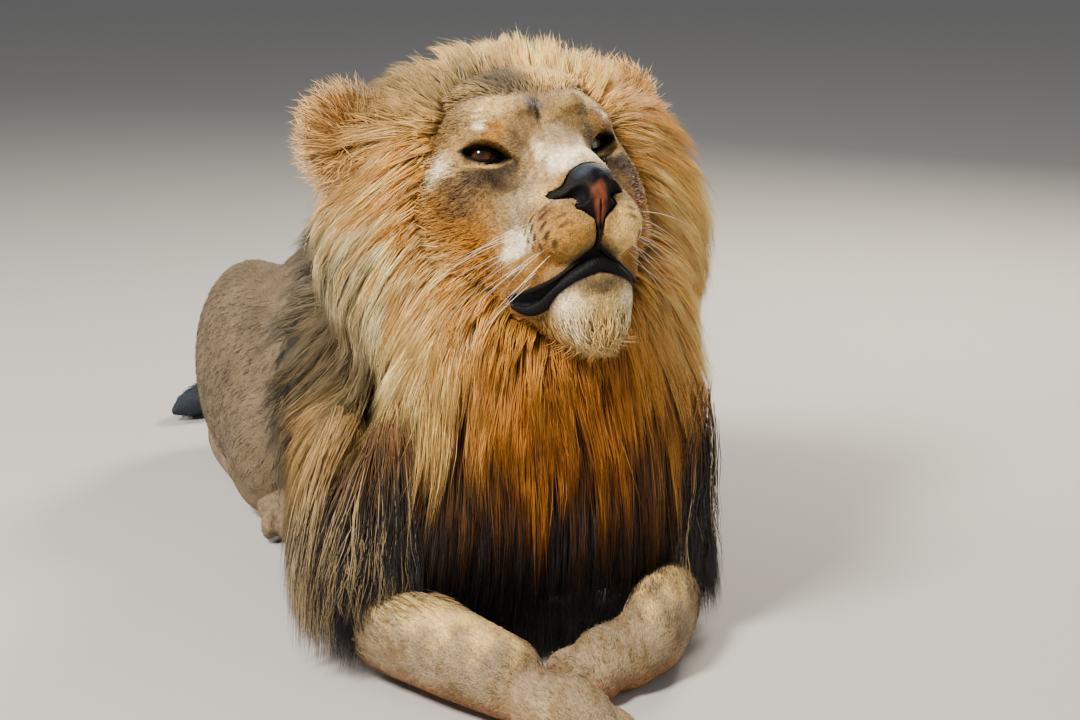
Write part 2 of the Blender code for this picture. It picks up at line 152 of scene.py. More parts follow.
def ramp(values, low, high):
    """0 below low and 1 above high, with the smooth step 3t^2 - 2t^3 between."""
    t = np.clip((values - low) / (high - low), 0.0, 1.0)
    return t * t * (3.0 - 2.0 * t)


def mix(a, b, share):
    """From a to b by share, for plain numbers or for rows of three with one share each."""
    if np.ndim(a) and np.shape(a)[-1] == 3:
        share = np.asarray(share)[..., None]
    return a * (1.0 - share) + b * share


def layered(base, *layers):
    """Colours laid over a base in turn, each by its share."""
    for colour, share in layers:
        base = mix(base, colour, share)
    return base


def waves(points, size, seed, count=7):
    """Smooth noise from -1 to 1: the mean of sines along random directions, about size apart."""
    rng = np.random.default_rng(seed)
    directions = unit(rng.normal(size=(count, 3))) * (2.0 * math.pi / size)
    directions *= rng.uniform(0.6, 1.5, (count, 1))
    phases = rng.uniform(0.0, 2.0 * math.pi, count)
    return np.sin(points @ directions.T + phases).sum(axis=-1) / math.sqrt(count) * 0.8


# Forms as distances: each function gives how far points lie outside a form

def ellipsoid(local, radii):
    """Round the origin: with q the place over the radii, |q| (|q| - 1) over |q / radii|."""
    scaled = local / radii
    size = np.linalg.norm(scaled, axis=-1)
    slope = np.linalg.norm(scaled / radii, axis=-1)
    return size * (size - 1.0) / np.maximum(slope, 1e-6)


def ball(points, centre, radii, axes=None):
    """An ellipsoid about its centre, its axes given as columns where it is turned."""
    local = points - np.asarray(centre)
    return ellipsoid(local if axes is None else local @ axes, np.asarray(radii))


def through(stations, count):
    """Catmull-Rom curve through rows of numbers, sampled at count even steps."""
    rows = np.asarray(stations, float)
    padded = np.vstack([2 * rows[0] - rows[1], rows, 2 * rows[-1] - rows[-2]])
    at = np.linspace(0.0, len(rows) - 1.0, count)
    i = np.minimum(at.astype(int), len(rows) - 2)
    t = (at - i)[:, None]
    a, b, c, d = padded[i], padded[i + 1], padded[i + 2], padded[i + 3]
    return 0.5 * (2 * b + (c - a) * t + (2 * a - 5 * b + 4 * c - d) * t ** 2
                  + (3 * b - a - 3 * c + d) * t ** 3)


def limb(points, stations, count=9):
    """A route with an elliptical section: for each short length of it, the section's own
    ellipsoid distance from the nearest point of that length; the least of them counts."""
    rows = through(stations, count)
    nearest = np.full(points.shape[:-1], FAR * 5)
    for a, b in zip(rows[:-1], rows[1:]):
        along = b[:3] - a[:3]
        t = np.clip((points - a[:3]) @ along / (along @ along), 0.0, 1.0)[..., None]
        ahead = unit(along)
        side = np.cross(ahead, (0.0, 0.0, 1.0))
        if abs(ahead[2]) > STEEP:
            side = np.array([1.0, 0.0, 0.0]) - ahead * ahead[0]
        side = unit(side)
        axes = np.array([ahead, side, np.cross(side, ahead)])
        local = (points - a[:3] - t * along) @ axes.T
        wide, high = (a[k] + t[..., 0] * (b[k] - a[k]) for k in (3, 4))
        radii = np.stack([np.minimum(wide, high), wide, high], axis=-1)
        nearest = np.minimum(nearest, ellipsoid(local, radii))
    return nearest


def blended(a, b, reach):
    """The nearer of two forms, with the hollow between them filled over reach."""
    h = np.clip(0.5 + 0.5 * (b - a) / reach, 0.0, 1.0)
    return b * (1.0 - h) + a * h - reach * h * (1.0 - h)


def carved(a, b, reach):
    """The first form less the second, its edge rounded over reach."""
    return -blended(-a, b, reach)


def worked(form, *steps):
    """A form with others blended in over their reaches, or carved out where these are negative."""
    for other, reach in steps:
        form = blended(form, other, reach) if reach > 0.0 else carved(form, other, -reach)
    return form


class Grid:
    """Distances at the corners of a block of cubes, read between them by blending."""

    def __init__(self, low, high, cube):
        self.low = np.asarray(low, float)
        self.cube = cube
        self.counts = np.ceil((np.asarray(high) - self.low) / cube).astype(int) + 1
        self.values = np.full(self.counts, FAR)

    def part(self, low, high):
        """The slices and corner points of the part of the block between two corners."""
        first = np.floor((np.asarray(low) - self.low) / self.cube).astype(int)
        last = np.ceil((np.asarray(high) - self.low) / self.cube).astype(int) + 1
        first, last = np.clip((first, last), 0, self.counts)
        lines = [self.low[k] + self.cube * np.arange(first[k], last[k]) for k in range(3)]
        return (tuple(slice(a, b) for a, b in zip(first, last)),
                np.stack(np.meshgrid(*lines, indexing="ij"), axis=-1))

    def fill(self, form):
        """Set every corner's distance from a form, and return the grid."""
        where, points = self.part(self.low, self.low + self.counts * self.cube)
        self.values[where] = form(points)
        return self

    def join(self, form, low, high, reach, depth=0.0):
        """Blend in a form sunk by depth, wherever it could matter."""
        margin = reach + 0.03
        where, points = self.part(np.asarray(low) - margin, np.asarray(high) + margin)
        if points.size:
            self.values[where] = blended(self.values[where], form(points) + depth, reach)

    def slopes(self):
        """Distance and its slope along each axis, stacked for reading."""
        self.stack = np.stack([self.values, *np.gradient(self.values, self.cube)], axis=-1)
        return self

    def read(self, points):
        """Distance and slope at any points: the eight corners round each, by nearness."""
        place = np.clip((points - self.low) / self.cube, 0.0, np.array(self.counts) - 1.001)
        i = place.astype(int)
        t = place - i
        out = np.zeros(points.shape[:-1] + (4,))
        for corner in np.ndindex(2, 2, 2):
            share = np.prod(np.where(corner, t, 1.0 - t), axis=-1)
            j = i + np.array(corner)
            out += share[..., None] * self.stack[j[..., 0], j[..., 1], j[..., 2]]
        return out[..., 0], out[..., 1:]

    def settle(self, points, depth=0.0, steps=3):
        """Move points along the slope to where the distance is -depth."""
        for _ in range(steps):
            value, slope = self.read(points)
            squared = np.maximum((slope ** 2).sum(axis=-1), 0.05)
            points = points - slope * np.clip((value + depth) / squared, -0.03, 0.03)[..., None]
        return points


def surface(grid, smoothing=2):
    """The zero surface of a grid: a corner in each cube it crosses, at the mean of its
    crossings of the cube's edges, and a face round each crossed edge of the grid. The corners
    are then evened towards their neighbours and settled back on the surface."""
    values = grid.values
    inside = values < 0.0
    counts = np.array(values.shape) - 1
    total = np.zeros(counts, int)
    for corner in np.ndindex(2, 2, 2):
        total += inside[tuple(slice(c, c + n) for c, n in zip(corner, counts))]
    cubes = np.argwhere((total > 0) & (total < 8))
    index = np.full(counts, -1)
    index[tuple(cubes.T)] = np.arange(len(cubes))
    places = np.zeros((len(cubes), 3))
    crossings = np.zeros(len(cubes))
    for axis in range(3):
        for other in np.ndindex(2, 2):
            start = np.insert(np.array(other), axis, 0)
            end = start.copy()
            end[axis] = 1
            a = values[tuple((cubes + start).T)]
            b = values[tuple((cubes + end).T)]
            crossed = (a < 0.0) != (b < 0.0)
            t = np.where(crossed, a / np.where(crossed, a - b, 1.0), 0.0)
            point = start + t[:, None] * (end - start)
            places[crossed] += point[crossed]
            crossings += crossed
    points = grid.low + (cubes + places / crossings[:, None]) * grid.cube
    faces = []
    for axis in range(3):
        others = [k for k in range(3) if k != axis]
        lower = [slice(None)] * 3
        upper = [slice(None)] * 3
        lower[axis], upper[axis] = slice(0, -1), slice(1, None)
        edges = np.argwhere(inside[tuple(lower)] != inside[tuple(upper)])
        room = np.all([(edges[:, k] > 0) & (edges[:, k] < counts[k]) for k in others], axis=0)
        edges = edges[room]
        leaving = inside[tuple(edges.T)]
        ring = []
        for step_a, step_b in ((1, 1), (0, 1), (0, 0), (1, 0)):
            cube = edges.copy()
            cube[:, others[0]] -= step_a
            cube[:, others[1]] -= step_b
            ring.append(index[tuple(cube.T)])
        ring = np.array(ring).T
        outward = leaving if axis != 1 else ~leaving
        faces.append(np.where(outward[:, None], ring, ring[:, ::-1]))
    faces = np.vstack(faces)
    grid.slopes()
    for _ in range(smoothing):
        sums = np.zeros_like(points)
        seen = np.zeros(len(points))
        for k in range(4):
            a, b = faces[:, k], faces[:, (k + 1) % 4]
            for i, j in ((a, b), (b, a)):
                for axis in range(3):
                    sums[:, axis] += np.bincount(i, points[j, axis], len(points))
                seen += np.bincount(i, minlength=len(points))
        points = mix(points, sums / np.maximum(seen, 1)[:, None], 0.5)
        points = grid.settle(points, steps=1)
    return points, faces


# Meshes

def to_mesh(name, points, faces, finish):
    """A mesh object from points in the working frame and faces of three or four corners."""
    mesh = bpy.data.meshes.new(name)
    sizes = np.concatenate([np.full(len(f), f.shape[1]) for f in faces])
    starts = np.concatenate([[0], np.cumsum(sizes)[:-1]])
    corners = np.concatenate([f.ravel() for f in faces])
    mesh.vertices.add(len(points))
    mesh.vertices.foreach_set("co", (points + SHIFT).astype(np.float32).ravel())
    mesh.loops.add(len(corners))
    mesh.loops.foreach_set("vertex_index", corners.astype(np.int32))
    mesh.polygons.add(len(starts))
    mesh.polygons.foreach_set("loop_start", starts.astype(np.int32))
    mesh.update(calc_edges=True)
    mesh.validate()
    mesh.polygons.foreach_set("use_smooth", np.ones(len(mesh.polygons), bool))
    mesh.materials.append(finish)
    piece = bpy.data.objects.new(name, mesh)
    bpy.context.scene.collection.objects.link(piece)
    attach(piece, "root")
    return piece


def tinted(piece, colours):
    """Put one colour per corner point on a piece, as the attribute its finish reads."""
    layer = piece.data.color_attributes.new("tint", "FLOAT_COLOR", "POINT")
    rows = np.ones((len(colours), 4), np.float32)
    rows[:, :3] = colours
    layer.data.foreach_set("color", rows.ravel())


# The lion's forms. Each is its distance function with the corners of the box that holds it.

def mound(centre, radii, axes=None):
    """An ellipsoid and its box."""
    reach = max(radii) if axes is not None else np.asarray(radii)
    return (lambda p: ball(p, centre, radii, axes), np.asarray(centre) - reach,
            np.asarray(centre) + reach)


def route(stations, count=9):
    """A limb and its box."""
    rows = np.asarray(stations)
    reach = rows[:, 3:].max()
    return (lambda p: limb(p, stations, count), rows[:, :3].min(axis=0) - reach,
            rows[:, :3].max(axis=0) + reach)


def mirrored(form):
    """The left-hand form and its twin across the middle."""
    function, low, high = form
    flip = np.array([-1.0, 1.0, 1.0])
    return [form, (lambda p: function(p * flip), np.array([-high[0], low[1], low[2]]),
                   np.array([-low[0], high[1], high[2]]))]


RUFF_AXES = turn(-19, "X") @ turn(-9, "Y")
MANE = [  # outlines of the mane, out to the tips of its hair
    mound((0.020, -0.205, 0.512), (0.280, 0.150, 0.250), RUFF_AXES),
    mound((-0.020, -0.170, 0.640), (0.205, 0.130, 0.118), RUFF_AXES),
    route([(0.022, -0.330, 0.440, 0.200, 0.110), (0.010, -0.345, 0.320, 0.228, 0.112),
           (-0.005, -0.335, 0.200, 0.236, 0.105), (-0.010, -0.325, 0.110, 0.232, 0.085)]),
    mound((-0.008, -0.050, 0.290), (0.290, 0.235, 0.262)),
    route([(0.0, 0.190, 0.385, 0.170, 0.100), (0.0, 0.060, 0.450, 0.215, 0.140),
           (0.010, -0.080, 0.545, 0.225, 0.175)]),
]
UPPER_ARMS = [mound((side * 0.210 - 0.008, -0.190, 0.190), (0.080, 0.150, 0.150), turn(20, "X"))
              for side in SIDES.values()]
ELBOWS = [mound((side * 0.205 - 0.012, -0.275, 0.118), (0.080, 0.110, 0.122))
          for side in SIDES.values()]
TRUNK = route([(0.0, -0.100, 0.255, 0.190, 0.250), (0.0, 0.100, 0.245, 0.200, 0.248),
               (0.0, 0.300, 0.228, 0.195, 0.222), (0.0, 0.500, 0.212, 0.175, 0.190),
               (0.0, 0.650, 0.195, 0.140, 0.165)])
HAUNCHES = [*mirrored(mound((0.172, 0.465, 0.180), (0.110, 0.215, 0.188), turn(8, "X"))),
            *mirrored(mound((0.205, 0.300, 0.105), (0.070, 0.110, 0.108), turn(-20, "X"))),
            *mirrored(mound((0.120, 0.660, 0.170), (0.085, 0.100, 0.130)))]
FOREARMS = [route([(-0.230, -0.225, 0.080, 0.036, 0.050), (-0.210, -0.335, 0.070, 0.050, 0.060),
                   (-0.160, -0.440, 0.067, 0.054, 0.062), (-0.108, -0.530, 0.058, 0.047, 0.056)]),
            route([(0.215, -0.180, 0.080, 0.036, 0.050), (0.186, -0.300, 0.068, 0.047, 0.058),
                   (0.145, -0.400, 0.062, 0.050, 0.060), (0.108, -0.455, 0.054, 0.048, 0.056)])]
SHINS = mirrored(route([(0.196, 0.275, 0.042, 0.038, 0.042), (0.208, 0.420, 0.036, 0.034, 0.038),
                        (0.212, 0.580, 0.038, 0.034, 0.040), (0.195, 0.665, 0.052, 0.036, 0.046)]))
TAIL = route([(0.0, 0.730, 0.205, 0.034, 0.034), (0.020, 0.815, 0.085, 0.029, 0.029),
              (0.085, 0.885, 0.032, 0.025, 0.025), (0.150, 0.960, 0.023, 0.022, 0.022),
              (0.130, 1.045, 0.021, 0.020, 0.020), (0.030, 1.060, 0.020, 0.018, 0.018),
              (-0.065, 0.990, 0.020, 0.018, 0.018), (-0.130, 0.920, 0.021, 0.019, 0.019)], 26)
TAIL_TUFT = route([(-0.125, 0.925, 0.022, 0.020, 0.020), (-0.170, 0.892, 0.030, 0.036, 0.030),
                   (-0.215, 0.868, 0.030, 0.034, 0.030), (-0.255, 0.850, 0.020, 0.010, 0.012)])
HOLLOW = mound((0.185, -0.262, 0.325), (0.056, 0.068, 0.095))  # between ruff, chest and shoulder


def paw(centre, heading, length=0.078, width=0.058, height=0.046):
    """A foot: a pad with four toes fanned across its front, each toe an ellipsoid."""
    axes = turn(heading, "Z")
    forms = [(mound(centre, (width, length, height), axes), 0.020)]
    for place, reach in ((-0.66, 0.050), (-0.23, 0.066), (0.23, 0.066), (0.66, 0.050)):
        toe = np.asarray(centre) + axes @ np.array([place * width, -reach, -0.010])
        forms.append((mound(toe, (0.019, 0.035, 0.027), axes @ turn(place * 18, "Z")), 0.006))
    return forms


FRONT_PAWS = [paw((-0.068, -0.600, 0.040), 20.0), paw((0.056, -0.470, 0.038), -72.0, length=0.070)]
HIND_PAWS = [paw((side * 0.190, 0.230, 0.036), side * 6.0, length=0.070, width=0.052)
             for side in SIDES.values()]


def on_left(points):
    """Head measures with the right side folded onto the left."""
    return np.stack([points[..., 0], np.abs(points[..., 1]), points[..., 2]], axis=-1)


def head_form(q):
    """Skull, brows, cheeks, bridge, whisker pads and jaw in head measures, blended."""
    m = on_left(q)
    muzzle = [(-0.030, 0.0, -0.055, 0.086, 0.075), (0.040, 0.0, -0.070, 0.064, 0.066),
              (0.090, 0.0, -0.084, 0.052, 0.052), (0.106, 0.0, -0.088, 0.042, 0.042)]
    bridge = [(-0.020, 0.0, 0.014, 0.042, 0.030), (0.050, 0.0, -0.018, 0.030, 0.026),
              (0.096, 0.0, -0.038, 0.029, 0.024), (0.120, 0.0, -0.052, 0.029, 0.022)]
    return worked(
        ball(q, (-0.075, 0.0, -0.005), (0.125, 0.108, 0.092)),
        (ball(q, (-0.020, 0.0, 0.018), (0.075, 0.082, 0.046), turn(14, "Y")), 0.03),
        (ball(q, (0.028, 0.0, -0.162), (0.092, 0.058, 0.048), turn(8, "Y")), 0.02),
        (limb(q, muzzle, 5), 0.03),
        (ball(m, (-0.040, 0.072, -0.070), (0.080, 0.050, 0.082), turn(-12, "Y")), 0.03),
        (ball(m, (0.018, 0.046, -0.126), (0.072, 0.037, 0.056), turn(10, "Y")), 0.02),
        (limb(q, bridge, 6), 0.014),
        (ball(m, (0.004, 0.050, 0.018), (0.030, 0.034, 0.018), turn(18, "Y")), 0.016),
        (ball(m, (0.026, 0.027, 0.034), (0.031, 0.024, 0.020)), 0.009),
        (ball(m, (0.100, 0.027, -0.100), (0.046, 0.037, 0.036), turn(10, "Y")), 0.014),
        (ball(q, (0.092, 0.0, -0.170), (0.036, 0.047, 0.044)), 0.014))


# Eyes and mouth, in head measures on the left side; the right is their mirror

EYE_CENTRE = np.array([-EYE_SETBACK, EYE_APART, -EYE_DROP])
EYE_SIZE = EYE_RADIUS / HEAD_SIZE
LID_SIZE = EYE_SIZE + 0.0036
LID_WIDTH = 0.0240  # half the opening's length
LID_RISE = 0.0074  # the upper lid's edge above the opening's middle line
LID_DROP = 0.0064
EYE_OUT = unit(np.array([1.0, 0.30, 0.02]))
EYE_SLANT = np.array([-0.30, 1.0, 0.26])  # from the inner corner to the outer
EYE_ALONG = unit(EYE_SLANT - EYE_OUT * (EYE_OUT @ EYE_SLANT))
EYE_UP = np.cross(EYE_OUT, EYE_ALONG)
TEAR_LINE = [(0.024, 0.044, -0.016, 0.005, 0.005), (0.040, 0.048, -0.024, 0.006, 0.006),
             (0.046, 0.056, -0.036, 0.006, 0.006)]

UPPER_LIP = [(0.1285, 0.000, -0.1235), (0.1205, 0.0120, -0.1325), (0.1130, 0.0265, -0.1425),
             (0.1010, 0.0400, -0.1515), (0.0850, 0.0520, -0.1570), (0.0640, 0.0640, -0.1600),
             (0.0400, 0.0735, -0.1615)]
LOWER_LIP = [(0.1225, 0.000, -0.1480), (0.1200, 0.0165, -0.1525), (0.1120, 0.0310, -0.1600),
             (0.0980, 0.0420, -0.1695), (0.0740, 0.0480, -0.1815), (0.0520, 0.0560, -0.1835),
             (0.0350, 0.0690, -0.1725)]
LIPS = [tuple((np.array(u) + np.array(v)) / 2.0) for u, v in zip(UPPER_LIP, LOWER_LIP)]
LIPS_HALF = (0.0125, 0.0112, 0.0100, 0.0098, 0.0125, 0.0120, 0.0055)  # half their height


def lid_places(m):
    """Places along and across the eye's opening, and how far outside its almond they lie."""
    local = m - EYE_CENTRE
    along, across = local @ EYE_ALONG, local @ EYE_UP
    room = 1.0 - (along / LID_WIDTH) ** 2
    edge = np.where(across > 0.0, across - LID_RISE * room, -across - LID_DROP * room)
    return along, across, edge


def beyond_lips(m):
    """How far outside the black of the lips places lie."""
    return limb(m, [(*g, h, h) for g, h in zip(LIPS, LIPS_HALF)], 13)


def nose_form(q):
    """The nose pad: a broad top, wings, a column to the lip, two comma-shaped nostrils."""
    m = on_left(q)
    wing = [(0.134, 0.018, -0.072, 0.012, 0.0130), (0.119, 0.029, -0.073, 0.0102, 0.0115),
            (0.105, 0.0370, -0.071, 0.0050, 0.0075)]
    column = [(0.138, 0.0, -0.076, 0.0130, 0.0100), (0.137, 0.0, -0.094, 0.0100, 0.0066),
              (0.133, 0.0, -0.109, 0.0085, 0.0030), (0.122, 0.0, -0.125, 0.0065, 0.0016)]
    nostril = [(0.162, 0.0170, -0.068, 0.0085, 0.0095), (0.149, 0.021, -0.073, 0.0095, 0.0105),
               (0.138, 0.029, -0.077, 0.0085, 0.0080), (0.126, 0.039, -0.076, 0.007, 0.0045),
               (0.110, 0.047, -0.072, 0.004, 0.0020)]
    groove = [(0.152, 0.0, -0.080, 0.003, 0.0007), (0.149, 0.0, -0.095, 0.004, 0.0009),
              (0.142, 0.0, -0.110, 0.004, 0.0009)]
    return worked(ball(m, (0.128, 0.0, -0.057), (0.022, 0.024, 0.016), turn(-20, "Y")),
                  (ball(m, (0.134, 0.0, -0.073), (0.020, 0.021, 0.026)), 0.010),
                  (limb(m, wing, 5), 0.009), (limb(m, column, 7), 0.004),
                  (limb(m, nostril, 9), -0.003), (limb(m, groove, 5), -0.002))


def face_form(q):
    """The head's form sunk by the coat, with lids, lips and the nose's seat worked into it."""
    m = on_left(q)
    opening = np.maximum(lid_places(m)[2], 0.006 - (m - EYE_CENTRE) @ EYE_OUT)
    brow = EYE_CENTRE + 0.0125 * EYE_UP + 0.008 * EYE_OUT
    mouth = [(*(np.array(g) + np.array([0.003, 0.0, 0.002])), 0.72 * h, 0.72 * h)
             for g, h in zip(LIPS, LIPS_HALF)]
    philtrum = [(0.150, 0.0, -0.085, 0.004, 0.0018), (0.140, 0.0, -0.105, 0.004, 0.0018),
                (0.131, 0.0, -0.128, 0.004, 0.0018)]
    return worked(
        head_form(q) + FACE_COAT,
        # the eye's hollow and the tear line, then the lids, their opening and the eye's room
        (ball(m, (0.016, 0.062, -0.007), (0.018, 0.028, 0.016)), -0.008),
        (ball(m, (0.054, 0.058, -0.034), (0.032, 0.015, 0.018), turn(30, "Y")), -0.018),
        (limb(m, TEAR_LINE, 5), -0.006),
        (ball(m, EYE_CENTRE, (LID_SIZE,) * 3), 0.005),
        (ball(m, brow, (0.014, 0.027, 0.008)), 0.005),
        (opening, -0.0015),
        (ball(m, EYE_CENTRE, (EYE_SIZE + 0.0008,) * 3), -0.001),
        (limb(m, mouth, 13), -0.003),
        (limb(m, philtrum, 5), -0.003),
        (nose_form(q) - 0.0008, -0.0015),
        # the groove between the brows, and the dip across under them
        (ball(q, (0.060, -0.009, 0.036), (0.023, 0.0050, 0.024)), -0.012),
        (ball(m, (0.070, 0.030, 0.017), (0.022, 0.032, 0.007), turn(20, "Y")), -0.010))


def ear_form(p, side):
    """One ear: a thick round shell with its hollow, the lion's own front to it."""
    q = to_head(p)
    axes = turn(side * 35, "Z") @ turn(-side * 28, "X") @ turn(-12, "Y")
    outer = ball(q, (-0.132, side * 0.168, 0.040), (0.032, 0.056, 0.066), axes) + 0.006
    hollow = ball(q, (-0.092, side * 0.178, 0.048), (0.026, 0.034, 0.042), axes)
    return carved(outer, hollow, 0.008) * HEAD_SIZE


# Colours, as reflected light from 0 to 1

CREAM = np.array([0.96, 0.64, 0.22])
WHITE = np.array([1.00, 0.85, 0.53])
BEIGE = np.array([0.54, 0.38, 0.21])
TAN = np.array([0.44, 0.26, 0.080])
GOLD = np.array([0.70, 0.335, 0.055])
ORANGE = np.array([0.60, 0.235, 0.012])
RUST = np.array([0.34, 0.095, 0.006])
BROWN = np.array([0.075, 0.028, 0.008])
UMBER = np.array([0.036, 0.021, 0.009])
BLACK = np.array([0.007, 0.006, 0.006])
SLATE = np.array([0.038, 0.050, 0.070])
GREY = np.array([0.20, 0.165, 0.115])
OLIVE = np.array([0.135, 0.098, 0.042])
AMBER = np.array([0.060, 0.020, 0.004])
REDDISH = np.array([0.17, 0.045, 0.020])
IVORY = np.array([0.90, 0.87, 0.80])

# Patches of the face on the left side, or of one side only: middle, reach, colour, strength
FACE_PATCHES = [
    ((0.000, 0.030, 0.060), (0.060, 0.070, 0.030), BEIGE * 0.55, 0.85),  # forehead
    ((0.018, 0.055, 0.046), (0.028, 0.024, 0.014), CREAM * 0.70, 0.85),
    ((0.014, 0.069, 0.042), (0.007, 0.007, 0.005), WHITE, 0.8),
    ((0.025, 0.072, 0.025), (0.009, 0.009, 0.004), WHITE, 0.75),
    ((0.036, 0.062, 0.013), (0.014, 0.015, 0.009), ORANGE * 0.6, 0.80),
    ((0.052, 0.041, 0.004), (0.013, 0.014, 0.020), UMBER * 1.8, 0.85),
    ((0.056, 0.028, 0.018), (0.012, 0.013, 0.009), UMBER * 3.5, 0.75),
    # painted shade: a dark band in the crease across under the brows
    ((0.060, 0.004, 0.016), (0.012, 0.028, 0.005), UMBER * 1.6, 0.85),
    ((0.066, 0.000, 0.000), (0.040, 0.022, 0.014), BEIGE * 0.72, 0.9),  # bridge
    ((0.076, 0.025, -0.014), (0.022, 0.010, 0.011), WHITE * 0.9, 0.80),
    ((0.110, 0.014, -0.030), (0.030, 0.024, 0.016), WHITE, 0.95),
    ((0.070, 0.054, -0.060), (0.036, 0.022, 0.036), BEIGE * 0.66, 0.92),  # side of the muzzle
    ((0.062, 0.063, -0.084), (0.026, 0.014, 0.015), BEIGE * 0.42, 0.8),
    ((0.105, 0.048, -0.064), (0.024, 0.017, 0.013), CREAM * 0.72, 0.75),
    ((0.130, 0.050, -0.086), (0.026, 0.019, 0.009), BROWN * 2.4, 0.80),
    ((0.134, 0.034, -0.109), (0.034, 0.030, 0.021), GOLD * 0.66, 0.92),
    ((0.106, 0.054, -0.135), (0.038, 0.022, 0.015), ORANGE * 0.55, 0.90),
    ((0.080, 0.066, -0.104), (0.026, 0.020, 0.011), WHITE, 0.90),
    ((0.064, 0.070, -0.116), (0.020, 0.016, 0.008), WHITE, 0.85),
    ((0.070, 0.066, -0.147), (0.034, 0.020, 0.012), ORANGE * 0.36, 0.85),
    ((0.110, 0.000, -0.195), (0.054, 0.064, 0.036), CREAM * 0.70, 1.0),  # chin
    ((0.118, 0.042, -0.188), (0.028, 0.024, 0.024), WHITE, 0.85),
    ((0.126, 0.000, -0.166), (0.014, 0.028, 0.012), UMBER * 1.2, 0.90),
    ((-0.020, 0.111, -0.014), (0.022, 0.018, 0.018), WHITE, 0.95),  # cheek
    ((-0.062, 0.113, -0.008), (0.026, 0.024, 0.012), CREAM * 0.8, 0.6),
    ((0.000, 0.108, -0.074), (0.056, 0.046, 0.038), ORANGE * 0.48, 0.92),
    ((0.026, 0.098, -0.104), (0.032, 0.024, 0.020), ORANGE * 0.75, 0.75),
    ((0.022, 0.099, -0.052), (0.030, 0.020, 0.018), UMBER * 2.4, 0.75),
    ((0.030, 0.079, -0.030), (0.045, 0.027, 0.0145), UMBER, 0.95),  # under the eye
    ((0.036, 0.062, -0.039), (0.035, 0.022, 0.020), UMBER, 0.92),
    ((0.030, 0.050, -0.021), (0.036, 0.014, 0.011), BLACK * 2, 1.0),
]
LONE_PATCHES = [((0.130, 0.036, -0.112), (0.040, 0.022, 0.030), CREAM, 0.85),
                ((0.050, -0.014, 0.036), (0.022, 0.010, 0.014), SLATE * 1.2, 0.85)]


def apart_squared(places, middle, reach):
    """Squared distance from a middle, measured in reaches along each axis."""
    return (((places - np.array(middle)) / np.array(reach)) ** 2).sum(axis=-1)


def painted(base, places, patches):
    """Lay soft patches over a base: each covers exp(-d^3.2), d the distance over its reach,
    at places moved a little by coarse and fine noise."""
    wander = np.stack([waves(places, 0.022, seed) for seed in (41, 42, 43)], axis=-1)
    fine = np.stack([waves(places, 0.007, seed) for seed in (44, 45, 46)], axis=-1)
    places = places + 0.0040 * wander + 0.0016 * fine
    for middle, reach, colour, strength in patches:
        base = mix(base, colour, strength * np.exp(-apart_squared(places, middle, reach) ** 1.6))
    return base


def face_colours(q):
    """Colours of the face at head measures: patches, mottling, spots, lids, lips and groove."""
    m = on_left(q)
    low = ramp(-q[..., 2], 0.04, 0.15) * ramp(m[..., 1], 0.04, 0.10)
    base = mix(np.broadcast_to(TAN * 0.72, q.shape), ORANGE * 0.65, 0.65 * low)
    base = painted(painted(base, m, FACE_PATCHES), q, LONE_PATCHES)
    base = base * (1.0 + 0.18 * waves(q, 0.012, 5) + 0.20 * waves(q, 0.0045, 6))[..., None]
    # rows of dark spots on the whisker pad
    row = (m[..., 2] + 0.62 * (0.11 - m[..., 0]) + 0.106) / 0.0115
    place = (m[..., 0] - 0.4 * m[..., 2]) / 0.0125 + 0.5 * np.floor(row + 0.5)
    spot = np.hypot(row - np.round(row), place - np.round(place))
    on_pad = np.exp(-apart_squared(m, (0.114, 0.054, -0.100), (0.044, 0.030, 0.028)) ** 3)
    # the black round the eye and in its inner corner, and the pale strip under it
    along, across, edge = lid_places(m)
    near = np.linalg.norm(m - EYE_CENTRE - EYE_OUT * EYE_SIZE, axis=-1)
    under = np.exp(-((along / 0.018) ** 4) - ((across + 0.0128 + 0.15 * along) / 0.0020) ** 2)
    # the lips in their smoky edge, and the groove up to the nose
    beyond = beyond_lips(m)
    smoke = (1.0 - ramp(beyond, 0.000, 0.010)) * (0.62 + 0.3 * waves(q, 0.004, 47))
    split = limb(m, [(0.150, 0.0, -0.085, 0.006, 0.0025), (0.131, 0.0, -0.128, 0.006, 0.0015)], 3)
    return layered(base, (BROWN * 0.7, (1.0 - ramp(spot, 0.18, 0.40)) * on_pad),
                   (BLACK, (1.0 - ramp(edge, 0.0020, 0.0058)) * (near < 0.036)),
                   (CREAM * 0.8, 0.95 * under * (near < 0.034)),
                   (UMBER * 1.6, np.clip(smoke, 0.0, 1.0)),
                   (BLACK, 1.0 - ramp(beyond, -0.002, 0.0025)),
                   (BROWN * 0.4, 1.0 - ramp(split, -0.0005, 0.0015)))


